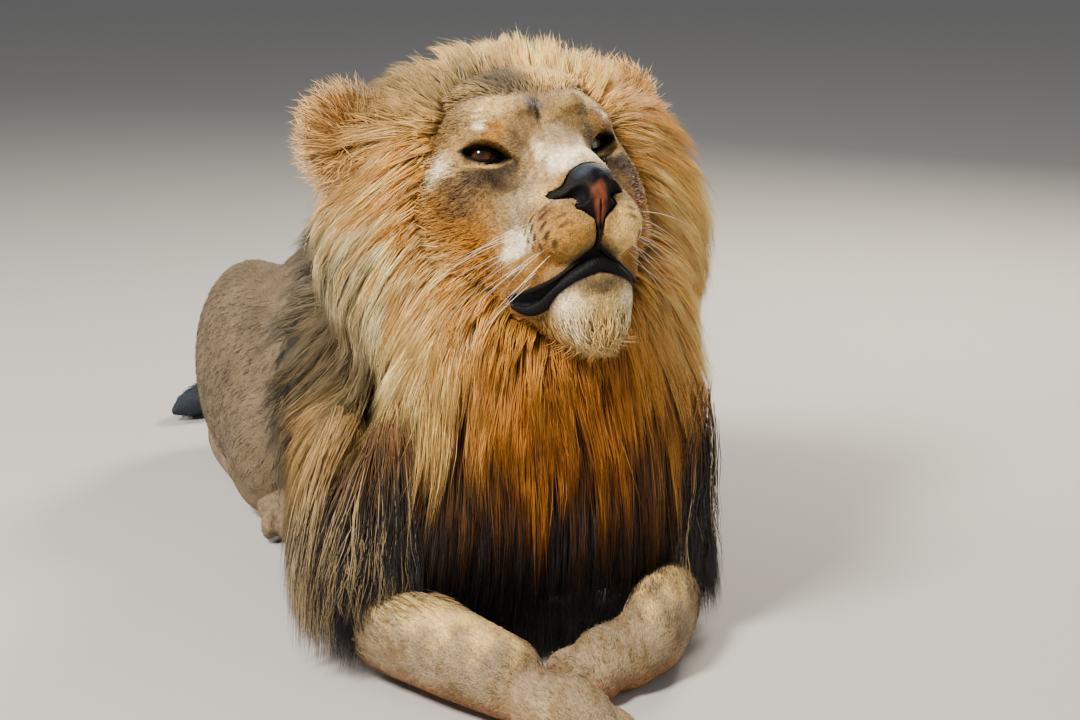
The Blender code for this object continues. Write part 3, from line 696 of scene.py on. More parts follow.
def mane_colours(p):
    """Colours of the mane where its hair grows, in the working frame: cream at the sides and
    whiter on the lion's right as painted highlight, orange by the cheeks, rust at the throat,
    near black below, olive behind, with tawny ears and a dark middle to the forelock."""
    x, y, z = p[..., 0], p[..., 1], p[..., 2]
    q = to_head(p)
    left, up = q[..., 1], q[..., 2]
    apart = np.hypot(left, up + 0.05)
    beyond = ramp(apart, 0.122, 0.152)
    wavy = 0.035 * waves(p, 0.09, 11) + 0.014 * waves(p, 0.03, 12)
    edge = 0.300 + 0.9 * np.abs(x - 0.01) ** 1.7
    shoulder = np.exp(-apart_squared(p, (-0.27, -0.24, 0.31), (0.07, 0.10, 0.075)) ** 2)
    tawny = mix(GOLD, ORANGE * 0.7, 0.5 + 0.5 * waves(p, 0.03, 13))
    ear = np.exp(-(np.linalg.norm(on_left(q) - EAR_MIDDLE, axis=-1) / 0.070) ** 4)
    drab = mix(TAN * 0.7, OLIVE * 0.7, 0.5 + 0.5 * waves(p, 0.020, 14))
    temple = np.exp(-((left + 0.110) / 0.065) ** 4 - ((up - 0.085) / 0.050) ** 4)
    crown = np.exp(-((left + 0.032) / 0.034) ** 4 - ((q[..., 0] + 0.015) / 0.055) ** 4)
    return layered(
        np.broadcast_to(GOLD, p.shape),
        (ORANGE, 0.85 * (1.0 - ramp(apart, 0.12, 0.20)) * ramp(-up, -0.02, 0.08)),
        (CREAM, 0.95 * ramp(-x, 0.07, 0.15) * ramp(z, 0.30, 0.42) * beyond),
        # painted highlight: whiter over the ruff's own cream, on the lion's right side only
        (WHITE, 0.85 * ramp(-x, 0.13, 0.22) * ramp(z, 0.32, 0.44) * beyond),
        (CREAM, 0.85 * ramp(x, 0.06, 0.17) * ramp(z, 0.35, 0.47) * beyond),
        (CREAM, 0.85 * ramp(up, 0.02, 0.08)),
        (RUST, 0.80 * np.exp(-((x - 0.02) / 0.13) ** 4) * ramp(-z, -0.46, -0.38)),
        (BROWN * 1.2, 0.9 * ramp(edge + 0.040 + wavy - z, 0.0, 0.05)),
        (BLACK * 3.0, ramp(edge - 0.030 + wavy - z, 0.0, 0.06)),
        (OLIVE, 0.92 * (ramp(y, -0.31, -0.21) * ramp(-z, -0.60, -0.50))),
        (TAN * 1.3, 0.9 * shoulder),
        (GREY * 0.5, 0.7 * ramp(y, -0.16, -0.02)),
        (tawny, 0.85 * ear),
        (drab, 0.75 * temple),
        (GREY * 0.25, 0.95 * (crown * ramp(up, 0.04, 0.06))))


def body_colours(p):
    """Colours of the short coat: tan-grey above, paler on the legs and below, with a painted
    highlight of cream along the tops of the forearms, slate at the tail's tuft."""
    y, z = p[..., 1], p[..., 2]
    arms = ramp(-y, 0.24, 0.34)
    blotches = ramp(waves(p, 0.06, 23) + waves(p, 0.018, 25), -0.2, 1.0)
    base = layered(
        np.broadcast_to(TAN * 0.40, p.shape),
        (GREY * 0.60, 0.60),
        (BEIGE * 0.62, 0.85 * arms),
        (TAN * 0.45, 0.65 * arms * blotches),
        # painted highlight: cream along the tops of the forearms, where light falls from above
        (CREAM * 0.85, 0.75 * arms * ramp(z + 0.014 * waves(p, 0.03, 24), 0.085, 0.120)),
        (RUST * 0.8, 0.65 * arms * ramp(-z, -0.050, -0.015)),
        (BEIGE * 0.5, 0.5 * (1.0 - arms) * ramp(-z, -0.12, -0.02)))
    base = base * (0.95 + 0.14 * waves(p, 0.06, 21) + 0.16 * waves(p, 0.010, 22))[..., None]
    tuft = np.linalg.norm((p - np.array([-0.19, 0.88, 0.03])) * (1.0, 1.0, 0.5), axis=-1)
    return mix(base, SLATE * 0.5, 1.0 - ramp(tuft, 0.070, 0.095))


# The skin

def ear_block(side):
    """The corners of the block round one ear, in the working frame."""
    middle = from_head(EAR_MIDDLE * (1.0, side, 1.0))
    return middle - EAR_ROOM, middle + EAR_ROOM


def outline_of_mane(filled=True):
    """The mane's outline on a grid, for its hair to follow, its hollow on the left filled."""
    grid = Grid((-0.36, -0.54, -0.02), (0.36, 0.30, 0.82), BODY_CUBE)
    for form in MANE:
        grid.join(*form, 0.05)
    if filled:
        grid.join(*HOLLOW, 0.05)
    for form in UPPER_ARMS + ELBOWS:
        grid.join(*form, 0.04)
    forelock = from_head((-0.042, 0.0, 0.043))
    grid.join(*mound(forelock, (0.092, 0.086, 0.054), HEAD_AXES.T @ turn(10, "Y")), 0.02)
    for side in SIDES.values():
        grid.join(lambda p: ear_form(p, side), *ear_block(side), 0.03)
    return grid


def skin_of_body():
    """Trunk, haunches and limbs under their coat, with the neck and chest under the mane."""
    grid = Grid((-0.36, -0.56, -0.02), (0.36, 1.10, 0.80), BODY_CUBE)
    for form in MANE:
        grid.join(*form, 0.05, MANE_DEPTH)
    for form in UPPER_ARMS + ELBOWS:
        grid.join(*form, 0.04, MANE_DEPTH * 0.6)
    grid.join(*TRUNK, 0.06, BODY_COAT)
    for form in HAUNCHES:
        grid.join(*form, 0.03, BODY_COAT)
    return grid


def skin_of_limbs(parts, low, high):
    """Limbs and feet under their coat: routes blended to paws, the toes kept apart."""
    grid = Grid(low, high, LIMB_CUBE)
    for form, reach in parts:
        grid.join(*form, reach, LIMB_COAT)
    return grid


def skin_of_head():
    """The face as a closed form on a grid in head measures, cut off flat inside the mane."""
    grid = Grid((-0.115, -0.126, -0.228), (0.160, 0.126, 0.112), FACE_CUBE)
    return grid.fill(lambda q: np.maximum(face_form(q), -0.105 - q[..., 0]))


def skin():
    """Every part of the skin as one mesh, with a colour for each corner; and the head's grid."""
    points, faces = surface(skin_of_body(), 3)
    # skin under the mane takes the mane's colours darkened to 0.55: painted shade under the hair
    under_mane = 1.0 - ramp(outline.read(points)[0], -0.018, -0.004)
    pieces = [(points, faces, mix(body_colours(points), mane_colours(points) * 0.55, under_mane))]
    front = [(FOREARMS[0], 0.02), (FOREARMS[1], 0.02), *FRONT_PAWS[0], *FRONT_PAWS[1]]
    hind = [(form, 0.02) for form in SHINS] + HIND_PAWS[0] + HIND_PAWS[1]
    tail = [(TAIL, 0.02), (TAIL_TUFT, 0.01)]
    for parts, low, high in ((front, (-0.32, -0.72, -0.03), (0.30, -0.14, 0.18)),
                             (hind, (-0.28, 0.10, -0.03), (0.28, 0.74, 0.14)),
                             (tail, (-0.28, 0.60, -0.03), (0.20, 1.12, 0.27))):
        points, faces = surface(skin_of_limbs(parts, low, high))
        pieces.append((points, faces, body_colours(points)))
    for side in SIDES.values():
        grid = Grid(*ear_block(side), EAR_CUBE).fill(lambda p: ear_form(p, side))
        points, faces = surface(grid)
        pieces.append((points, faces, np.broadcast_to(mix(ORANGE * 0.4, BROWN, 0.4), points.shape)))
    head = skin_of_head()
    points, faces = surface(head)
    pieces.append((from_head(points), faces, face_colours(points)))
    first = np.cumsum([0] + [len(p) for p, _, _ in pieces])
    points = np.vstack([p for p, _, _ in pieces])
    faces = np.vstack([f + n for (_, f, _), n in zip(pieces, first)])
    points[:, 2] = np.maximum(points[:, 2], SKIN_GAP)
    return points, faces, np.vstack([c for _, _, c in pieces]), head


# Finishes

def node(material, kind, **sockets):
    """A new node with its sockets set by name, a space in a name written as _."""
    made = material.node_tree.nodes.new("ShaderNode" + kind)
    for name, value in sockets.items():
        made.inputs[name.replace("_", " ")].default_value = value
    return made


def finish(name, roughness, coat=0.0, specular=0.5):
    """A named material, its shader's inputs and its linker."""
    material = bpy.data.materials.new(name)
    material.use_nodes = True
    shader = material.node_tree.nodes["Principled BSDF"].inputs
    shader["Roughness"].default_value = roughness
    shader["Coat Weight"].default_value = coat
    shader["Coat Roughness"].default_value = 0.05
    shader["Specular IOR Level"].default_value = specular
    return material, shader, material.node_tree.links.new


def tint_of(material):
    """The colour that a piece's own tint gives."""
    tint = node(material, "Attribute")
    tint.attribute_name = "tint"
    return tint.outputs["Color"]


def colour_mix(material, way="MIX", **sockets):
    """A mix of two colours: its node and the two colours' sockets."""
    blend = node(material, "Mix", **sockets)
    blend.data_type = "RGBA"
    blend.blend_type = way
    return blend, blend.inputs[6], blend.inputs[7]


def drifting(material, shader, link, place, scale, first, second):
    """Colour a finish from a first colour to a second by noise."""
    noise = node(material, "TexNoise", Scale=scale, Detail=4.0)
    link(place, noise.inputs["Vector"])
    blend, a, b = colour_mix(material)
    a.default_value, b.default_value = (*first, 1.0), (*second, 1.0)
    link(noise.outputs["Fac"], blend.inputs["Factor"])
    link(blend.outputs[2], shader["Base Color"])


def tinted_finish(name, roughness, **look):
    """A plain finish in the piece's own tint."""
    material, shader, link = finish(name, roughness, **look)
    link(tint_of(material), shader["Base Color"])
    return material


def coat_skin():
    """Skin seen through its short coat: the tint times 0.60 to 1.25 by noise drawn out along
    the coat, and the same noise as a nap of fine bumps."""
    material, shader, link = finish("coat_skin", 0.75, specular=0.25)
    combed = node(material, "Mapping", Rotation=(math.radians(-22.0), 0.0, 0.0),
                  Scale=(1.0, 0.17, 1.0))
    link(node(material, "TexCoord").outputs["Object"], combed.inputs["Vector"])
    fine = node(material, "TexNoise", Scale=520.0, Detail=4.0)
    link(combed.outputs["Vector"], fine.inputs["Vector"])
    shade = node(material, "MapRange", From_Min=0.3, From_Max=0.7, To_Min=0.60, To_Max=1.25)
    link(fine.outputs["Fac"], shade.inputs["Value"])
    blend, a, b = colour_mix(material, "MULTIPLY", Factor=1.0)
    link(tint_of(material), a)
    link(shade.outputs["Result"], b)
    link(blend.outputs[2], shader["Base Color"])
    bump = node(material, "Bump", Strength=0.8, Distance=0.0025)
    link(fine.outputs["Fac"], bump.inputs["Height"])
    link(bump.outputs["Normal"], shader["Normal"])
    return material


def leather(name, roughness, scale, depth, colour=None):
    """Bare skin: fine pebbles from a cell pattern, in its tint or in one drifting colour."""
    material, shader, link = finish(name, roughness, specular=0.12)
    place = node(material, "TexCoord").outputs["Object"]
    cells = node(material, "TexVoronoi", Scale=scale)
    link(place, cells.inputs["Vector"])
    bump = node(material, "Bump", Strength=0.5, Distance=depth)
    link(cells.outputs["Distance"], bump.inputs["Height"])
    link(bump.outputs["Normal"], shader["Normal"])
    if colour is None:
        link(tint_of(material), shader["Base Color"])
    else:
        drifting(material, shader, link, place, scale * 0.3, colour, np.array(colour) * 2.2)
    return material


def whisker_finish():
    """A whisker: white and a little glossy, yellowed in places."""
    material, shader, link = finish("whisker", 0.3)
    place = node(material, "TexCoord").outputs["Object"]
    drifting(material, shader, link, place, 30.0, (0.92, 0.90, 0.85), (0.80, 0.72, 0.58))
    return material


# The coat: thin closed tufts, each three-sided and tapering from its root to its tip

def unwrapped(points, normals):
    """Places on a box unwrap of the skin: six charts, three across and two up, one for each
    way a surface can mostly face, holding the two other coordinates scaled to fit."""
    low, high = points.min(axis=0), points.max(axis=0)
    share = 0.02 + 0.95 * (points - low) / (high - low)
    axis = np.abs(normals).argmax(axis=1)
    rows = np.arange(len(points))
    a = share[rows, (axis + 1) % 3]
    b = share[rows, (axis + 2) % 3]
    return np.stack([(axis + a) / 3.0, ((normals[rows, axis] > 0) + b) / 2.0], axis=1)


def tufts(name, spines, normals, widths, colours, material, flat=0.55):
    """Tufts along spines of (count, stations, 3): a three-cornered section at each station
    but the last, its half width w (0.55 + 0.45 sin(pi min(1.6 t, 1))) (1 - t^3), closed to a
    point at the tip. Each has a patch of the unwrap where its root stands on the skin."""
    count, stations = spines.shape[:2]
    ahead = unit(np.gradient(spines, axis=1))
    side = unit(np.cross(ahead, normals[:, None, :]))
    out = np.cross(side, ahead)
    t = np.linspace(0.0, 1.0, stations)
    taper = (0.55 + 0.45 * np.sin(np.pi * np.minimum(t * 1.6, 1.0))) * (1.0 - t ** 3)
    half = widths[:, None] * taper
    corners = []
    for degrees in (90.0, 210.0, 330.0):
        a = math.radians(degrees)
        corners.append(spines + half[..., None] * (math.cos(a) * side + flat * math.sin(a) * out))
    body = np.stack(corners, axis=2)[:, :-1].reshape(count, -1, 3)
    points = np.concatenate([body, spines[:, -1:]], axis=1)
    each = points.shape[1]
    faces = [(0, 2, 1)]
    for k in range(stations - 2):
        for c in range(3):
            a, b = 3 * k + c, 3 * k + (c + 1) % 3
            faces += [(a, b, b + 3), (a, b + 3, a + 3)]
    last = 3 * (stations - 2)
    faces += [(last + c, last + (c + 1) % 3, each - 1) for c in range(3)]
    faces = np.array(faces)
    rows = np.concatenate([np.repeat(np.arange(stations - 1), 3), [stations - 1]])
    across = np.concatenate([np.tile([0.0, 0.5, 1.0], stations - 1), [0.5]])
    tints = colours[:, rows]
    patch = np.stack([across, rows / (stations - 1.0)], axis=-1) * PATCH
    places = unwrapped(spines[:, 0], normals)[:, None, :] + patch
    order = np.argsort(spines[:, 0, 0], kind="stable")
    pieces = max(1, math.ceil(count * len(faces) / HAIR_LIMIT))
    for number, chosen in enumerate(np.array_split(order, pieces)):
        corners = (faces[None] + each * np.arange(len(chosen))[:, None, None]).reshape(-1, 3)
        label = name if pieces == 1 else "%s_%d" % (name, number + 1)
        piece = to_mesh(label, points[chosen].reshape(-1, 3), [corners], material)
        tinted(piece, tints[chosen].reshape(-1, 3))
        layer = piece.data.uv_layers.new(name="OFBake")
        flat_places = places[chosen].reshape(-1, 2)[corners.ravel()]
        layer.data.foreach_set("uv", flat_places.astype(np.float32).ravel())


def lifted(spines, gap):
    """Keep spines at least a gap above the floor."""
    spines[..., 2] = np.maximum(spines[..., 2], gap)
    return spines


def along_guides(guides, shares):
    """Points on guides of (count, stations, 3) at shares of (count, samples) of their length."""
    place = np.clip(shares, 0.0, 0.9999) * (guides.shape[1] - 1)
    i = place.astype(int)
    t = (place - i)[..., None]
    rows = np.arange(len(guides))[:, None]
    return guides[rows, i] * (1.0 - t) + guides[rows, i + 1] * t


def before_hairline(q):
    """How far in front of the hairline places on the brow and temples lie: the line runs
    level over the forehead and slants back over the temples."""
    line = 0.036 - 1.5 * np.clip(np.abs(q[..., 1]) - 0.030, 0.0, 0.044)
    return q[..., 0] - line


def mane_lie(p):
    """The way the mane falls: out and back from the face, more and more straight down away
    from it, back over the crown and neck, and back and down over the shoulders."""
    q = to_head(p)
    apart = np.stack([q[..., 1], q[..., 2] + 0.06], axis=-1)
    far = np.linalg.norm(apart, axis=-1, keepdims=True)
    outward = apart / np.maximum(far, 1e-6)
    top = ramp(q[..., 2:3], 0.00, 0.09)
    lie = outward[..., :1] * HEAD_AXES[1] + outward[..., 1:] * HEAD_AXES[2]
    lie = lie - HEAD_AXES[0] * (0.35 + 0.9 * top)
    fall = (0.85 + 1.6 * ramp(far, 0.14, 0.30)) * (1.0 - top)
    lie = lie + fall * np.array([0.0, 0.0, -1.0])
    behind = ramp(p[..., 1:2], -0.26, -0.08)
    back = np.stack([0.25 * np.sign(p[..., 0]), np.ones(p.shape[:-1]),
                     -1.1 * ramp(np.abs(p[..., 0]), 0.05, 0.20)], axis=-1)
    lie = unit(lie) * (1.0 - behind) + unit(back) * behind
    wander = np.stack([waves(p, 0.16, 31), waves(p, 0.16, 32), waves(p, 0.16, 33)], axis=-1)
    return lie + 0.14 * wander


def mane_guides(tips, lengths, depths):
    """Guide locks traced upstream from their tips along the lie of the mane, sinking from the
    outline at the tip to the skin at the root, and cut short where they would enter the face."""
    steps = 16
    path = [tips]
    p = tips
    for step in range(1, steps):
        slope = unit(outline.read(p)[1])
        lie = mane_lie(p)
        lie = unit(lie - slope * (lie * slope).sum(axis=-1, keepdims=True))
        p = p - lie * (lengths / (steps - 1))[:, None]
        sunk = depths + (ROOT_DEPTH - depths) * (step / (steps - 1.0)) ** 1.3
        p = outline.settle(p, sunk, steps=1)
        path.append(p)
    guides = np.stack(path, axis=1)
    q = to_head(guides)
    inside = (head_form(q) < -0.003) | (before_hairline(q) > 0.0) & (q[..., 2] > -0.03)
    kept = np.where(inside.any(axis=1), inside.argmax(axis=1), steps) - 1.0
    shares = np.linspace(1.0, 0.0, steps) * (np.maximum(kept, 1.0) / (steps - 1.0))[:, None]
    return along_guides(guides, shares)[kept >= np.where(q[:, 0, 2] > 0.0, 2, 4)]


def mane_tips(rng):
    """Tips of the guide locks, with their lengths and depths: drawn from the outline's corners,
    fewer behind and more low in front, none on the face, and shorter on top and behind."""
    seeds, _ = surface(outline_of_mane(filled=False), 1)
    front = 1.0 - ramp(seeds[:, 1], -0.22, -0.05)
    weight = (0.38 + 0.62 * front) * (1.0 + 0.5 * front * (1.0 - ramp(seeds[:, 2], 0.16, 0.26)))
    weight = weight * (seeds[:, 2] > 0.035) * (seeds[:, 1] < 0.23)
    q = to_head(seeds)
    weight = weight * (head_form(q) > 0.004) * ((before_hairline(q) < -0.004) | (q[:, 2] < -0.03))
    chosen = rng.choice(len(seeds), GUIDES, replace=True, p=weight / weight.sum())
    tips = seeds[chosen] + rng.uniform(-0.008, 0.008, (GUIDES, 3))
    depths = rng.uniform(0.0, 0.012, GUIDES)
    tips = outline.settle(tips, depths)
    top = ramp(to_head(tips)[:, 2], 0.04, 0.12)
    behind = ramp(tips[:, 1], -0.24, -0.06)
    lengths = (0.165 - 0.060 * top) * (1.0 - behind) + 0.085 * behind
    return tips, lengths * rng.uniform(0.75, 1.2, GUIDES), depths


def hanging(guides):
    """Guides drawn down by t^1.5 where their tips are low, most over the elbows, and never
    nearer the floor than 8 mm."""
    x, y, low = guides[:, -1].T
    elbow = ramp(np.abs(x), 0.17, 0.23) * ramp(-y, 0.12, 0.20)
    reach = 0.070 + 0.060 * elbow
    drop = np.minimum(reach * ramp(0.24 - low, 0.0, 0.12), np.maximum(low - 0.008, 0.0))
    guides[..., 2] -= drop[:, None] * np.linspace(0.0, 1.0, guides.shape[1]) ** 1.5
    return guides


def mane_strands(guides, rng):
    """Strands of the guide locks and the way out at each: set off sideways by s (1 - 0.78
    t^1.4) and inwards by n (1 - 0.6 t), one in fourteen loose at the tip, all finely waved."""
    each = np.repeat(np.arange(len(guides)), STRANDS)
    one = (len(each), 1, 1)
    ends = rng.uniform(0.80, 1.0, len(each))
    guides = hanging(guides)
    spines = along_guides(guides[each], np.linspace(0.0, 1.0, STATIONS)[None] * ends[:, None])
    reach = np.linalg.norm(np.diff(guides, axis=1), axis=-1).sum(axis=1)
    full = np.clip(reach / 0.080, 0.15, 1.0)[each][:, None, None]
    normals = unit(outline.read(spines[:, STATIONS // 2])[1])
    side = unit(np.cross(unit(spines[:, -1] - spines[:, 0]), normals))[:, None]
    t = np.linspace(0.0, 1.0, STATIONS)[None, :, None]
    spread = rng.uniform(-1.0, 1.0, one) * 0.013 * full
    sink = rng.uniform(-1.0, 0.3, one) * 0.008 * full
    spines = spines + side * spread * (1.0 - 0.78 * t ** 1.4)
    spines = spines + normals[:, None] * sink * (1.0 - 0.6 * t)
    stray = (rng.random(one) < 0.07) * rng.uniform(0.3, 1.0, one)
    loose = side * rng.normal(size=one) * 0.016 + normals[:, None] * 0.010
    spines = spines + loose * stray * full * t ** 2
    curl = rng.uniform(0.0, 2 * math.pi, one)
    spines = spines + side * 0.0026 * np.sin(curl + t * rng.uniform(3, 8, one)) * t
    return lifted(spines, HAIR_GAP), normals


def mane_tints(guides, rng):
    """Colours of the strands: the mane's colour a random way along each lock, brighter or
    darker by strand and by lock, and lighter from 0.58 at the root to 1.18 at the tip, as
    painted shade towards the roots and painted light at the tips."""
    each = np.repeat(np.arange(len(guides)), STRANDS)
    jitter = rng.normal(size=(len(each), 3)) * 0.010
    taken = np.clip(rng.uniform(0.0, 0.65, len(guides)) ** 1.3, 0.0, 1.0)
    taken = np.where(guides[:, 0, 2] > 0.34, taken, 0.4)[each][:, None]
    base = mane_colours(along_guides(guides[each], taken)[:, 0] + jitter)
    base = base * rng.uniform(0.75, 1.22, (len(each), 1))
    base = base * rng.uniform(0.72, 1.30, len(guides))[each][:, None]
    # painted shade at the roots and painted light at the tips of each strand
    shade = (0.58 + 0.60 * np.linspace(0.0, 1.0, STATIONS) ** 0.7)[None, :, None]
    return np.clip(base[:, None] * shade, 0.0, 1.0)


def mane():
    """The mane's hair: guide locks all over its outline, each a bundle of strands that spread
    at the root and close towards the lock's tip."""
    rng = np.random.default_rng(71)
    guides = mane_guides(*mane_tips(rng))
    spines, normals = mane_strands(guides, rng)
    widths = rng.uniform(0.00055, 0.00115, len(spines))
    tufts("mane_hair", spines, normals, widths, mane_tints(guides, rng), HAIR_FINISH)


def scattered(points, faces, density, rng):
    """Random roots on faces of a mesh, the number on each by its area times density."""
    a, b, c, d = (points[faces[:, k]] for k in range(4))
    cross = np.cross(c - a, d - b)
    area = np.linalg.norm(cross, axis=1) / 2.0
    middle = (a + b + c + d) / 4.0
    wanted = area * density(middle)
    total = int(wanted.sum())
    chosen = rng.choice(len(faces), total, p=wanted / wanted.sum())
    u, v = rng.random((total, 1)), rng.random((total, 1))
    roots = (a[chosen] * (1 - u) * (1 - v) + b[chosen] * u * (1 - v)
             + c[chosen] * u * v + d[chosen] * (1 - u) * v)
    return roots, unit(cross[chosen])


def lying(roots, normals, lie, lengths, lift):
    """Three-station spines along the lie of the coat: from just under the skin, rising by
    lift times the length, then levelling."""
    lie = unit(lie - normals * (lie * normals).sum(axis=-1, keepdims=True))
    long, lift = lengths[:, None], lift[:, None]
    return np.stack([roots - normals * 0.0012, roots + lie * long * 0.5 + normals * long * lift,
                     roots + lie * long + normals * long * (lift * 1.3)], axis=1)


def slope_of(form, q, step=0.0005):
    """The way out of a form at places, from small steps along the three axes."""
    ways = [form(q + step * way) - form(q - step * way) for way in np.eye(3)]
    return unit(np.stack(ways, axis=-1))


def eye_edge(q):
    """How far outside the nearer eye's opening places lie, across its middle line."""
    m = on_left(q)
    far = np.linalg.norm(m - EYE_CENTRE, axis=-1) - 0.036
    return np.maximum(lid_places(m)[2], far)


def face_lie(q):
    """The way the face's hair lies, in head measures: back from the nose over the bridge and
    forehead, out and down over the cheeks, and forward and down on the chin."""
    side = np.sign(q[..., 1])
    far = np.abs(q[..., 1])
    back = -np.ones(q.shape[:-1])
    out = side * (0.15 + 1.6 * ramp(far, 0.02, 0.09))
    rise = 0.55 * ramp(q[..., 2], -0.04, 0.03) - 0.75 * ramp(-q[..., 2], 0.05, 0.13)
    chin = ramp(-q[..., 2], 0.150, 0.178) * ramp(q[..., 0], 0.02, 0.07)
    back = back * (1.0 - chin) + 0.25 * chin
    rise = rise * (1.0 - chin) - 1.3 * chin
    lie = unit(np.stack([back, out * (1.0 - 0.6 * chin), rise], axis=-1))
    for form in (eye_edge, nose_form, lambda p: beyond_lips(on_left(p))):
        value = form(q)[..., None]
        lie = lie + 2.5 * slope_of(form, q) * (1.0 - ramp(value, 0.003, 0.012))
    return unit(lie) @ HEAD_AXES


def bare_face(q):
    """Where the face has no hair: the lids and the eye's inner corner, the eyeball, the groove
    under the nose, the nose pad and the lips."""
    m = on_left(q)
    along, _, edge = lid_places(m)
    from_eye = np.linalg.norm(m - EYE_CENTRE, axis=-1)
    lids = (edge < 0.0040 + 0.0050 * ramp(-along, 0.008, 0.022)) & (from_eye < 0.038)
    groove = (m[..., 1] < 0.0036) & (m[..., 0] > 0.12) & (np.abs(m[..., 2] + 0.105) < 0.025)
    return (lids | (from_eye < LID_SIZE - 0.001) | groove
            | (nose_form(q) < 0.0015) | (beyond_lips(m) < 0.0012))


def face_density(q):
    """Tufts on a square head measure: none on bare places or deep inside the mane."""
    hidden = (q[..., 0] < -0.098) | (outline.read(from_head(q))[0] < -0.035)
    return FACE_DENSITY * ~(bare_face(q) | hidden) + 1e-9


def face_lengths(q, edge, upper):
    """Length and lift of the face's hair: least on the muzzle, by the lips and round the eyes,
    more on cheeks, chin and jaw, and most at the mane's edge."""
    m = on_left(q)
    forward = ramp(q[:, 0], 0.03, 0.07)
    chin = ramp(-q[:, 2], 0.168, 0.195) * forward
    fringe = ramp(-q[:, 2], 0.182, 0.208) * forward
    cheek = ramp(m[:, 1], 0.055, 0.10) * ramp(0.05 - q[:, 0], 0.0, 0.05)
    cheek = cheek * ramp(eye_edge(q), 0.008, 0.040)
    lengths = 0.0048 + 0.014 * cheek + 0.014 * chin + 0.016 * fringe
    lengths = lengths + 0.026 * edge
    lengths = 0.0040 + (lengths - 0.0040) * np.maximum(ramp(beyond_lips(m), 0.006, 0.045), chin)
    near = ramp(lid_places(m)[2], 0.003, 0.014)
    near = near + ramp(np.linalg.norm(m - EYE_CENTRE, axis=-1), 0.030, 0.045)
    lift = 0.13 - 0.08 * ramp(q[:, 0], 0.04, 0.08) + 0.06 * edge + 0.14 * chin + 0.22 * fringe
    return lengths * (0.55 + 0.45 * np.minimum(near, 1.0)), lift + 0.08 * upper * edge


def face_tips(roots, lie, lengths):
    """Places three quarters of the way along the face's hair, in head measures."""
    return roots + lie @ HEAD_AXES.T * (0.75 * lengths / HEAD_SIZE)[:, None]


def face_coat():
    """Short hair over the face, shortened where it would cross a bare place and left out where
    it still would."""
    rng = np.random.default_rng(72)
    points, faces = surface(head_grid, 1)
    roots, normals = scattered(points, faces, face_density, rng)
    depth = -outline.read(from_head(roots))[0]
    upper = ramp(roots[:, 2], -0.050, -0.020)
    edge = mix(ramp(depth, -0.045, 0.0), ramp(-before_hairline(roots), -0.001, 0.014), upper)
    lengths, lift = face_lengths(roots, edge, upper)
    lengths = lengths * rng.uniform(0.7, 1.3, len(roots))
    lie = face_lie(roots) + rng.normal(size=roots.shape) * 0.16
    for _ in range(3):
        lengths = np.where(bare_face(face_tips(roots, lie, lengths)), 0.45 * lengths, lengths)
    tips = face_tips(roots, lie, lengths)
    clear = ~(bare_face(tips) | bare_face((roots + tips) / 2.0))
    roots, normals, lie, lengths, lift, edge, upper = (
        values[clear] for values in (roots, normals, lie, lengths, lift, edge, upper))
    normals = normals @ HEAD_AXES
    spines = lying(from_head(roots), normals, lie, lengths, lift)
    colours = mix(face_colours(roots), mane_colours(spines[:, -1]), (0.55 + 0.35 * upper) * edge)
    spread = (0.26 - 0.13 * ramp(roots[:, 0], 0.04, 0.08))[:, None]
    colours = colours * (1.0 + rng.uniform(-1.0, 1.0, (len(roots), 1)) * spread)
    # each tuft darker at its root and lighter at its tip: painted shade and painted light
    colours = np.clip(colours[:, None] * np.array([0.78, 1.0, 1.08])[None, :, None], 0, 1)
    tufts("face_hair", spines, normals, 0.00042 + 0.016 * lengths, colours, HAIR_FINISH)


def limb_lie(p):
    """The way the short coat lies: back along the trunk, down the haunches and sides, and
    along the limbs towards the feet."""
    x, y, z = p[..., 0], p[..., 1], p[..., 2]
    side = np.sign(x)
    back = np.stack([0.1 * side, np.ones_like(x),
                     -0.35 - 0.8 * ramp(np.abs(x), 0.08, 0.2)], axis=-1)
    right = ramp(-y, 0.14, 0.22) * (x < 0)
    left = ramp(-y, 0.14, 0.22) * (x >= 0)
    back = mix(back, np.array([0.35, -1.0, -0.15]), right)
    back = mix(back, np.array([-0.35, -1.0, -0.15]), left)
    hind = (1.0 - ramp(z, 0.06, 0.10)) * ramp(y, 0.05, 0.12) * (1.0 - ramp(y, 0.66, 0.72))
    back = mix(back, np.stack([0.0 * x, -np.ones_like(x), 0.0 * x], axis=-1), hind)
    return back


def near_ear(q):
    """Whether places in head measures lie in the shaggy hair round an ear."""
    return np.linalg.norm(on_left(q) - EAR_MIDDLE, axis=-1) < EAR_FLUFF


def body_density(p):
    """Tufts on a square metre of skin: none under the mane, on the head or on the floor, more
    on the feet and round the ears."""
    q = to_head(p)
    ear = near_ear(q)
    hidden = (outline.read(p)[0] < -0.015) & (p[:, 1] < 0.17)
    hidden |= (head_form(q) < 0.02) & (q[:, 0] > -0.13) | (q[:, 2] > 0.0)
    hidden = hidden & ~ear | (p[:, 2] < 0.006)
    feet = (1.0 - ramp(p[:, 2], 0.10, 0.13)) * (1.0 - ramp(p[:, 1], -0.40, -0.30))
    return BODY_DENSITY * (1.0 + 3.0 * feet + 2.5 * ear) * ~hidden + 1e-9


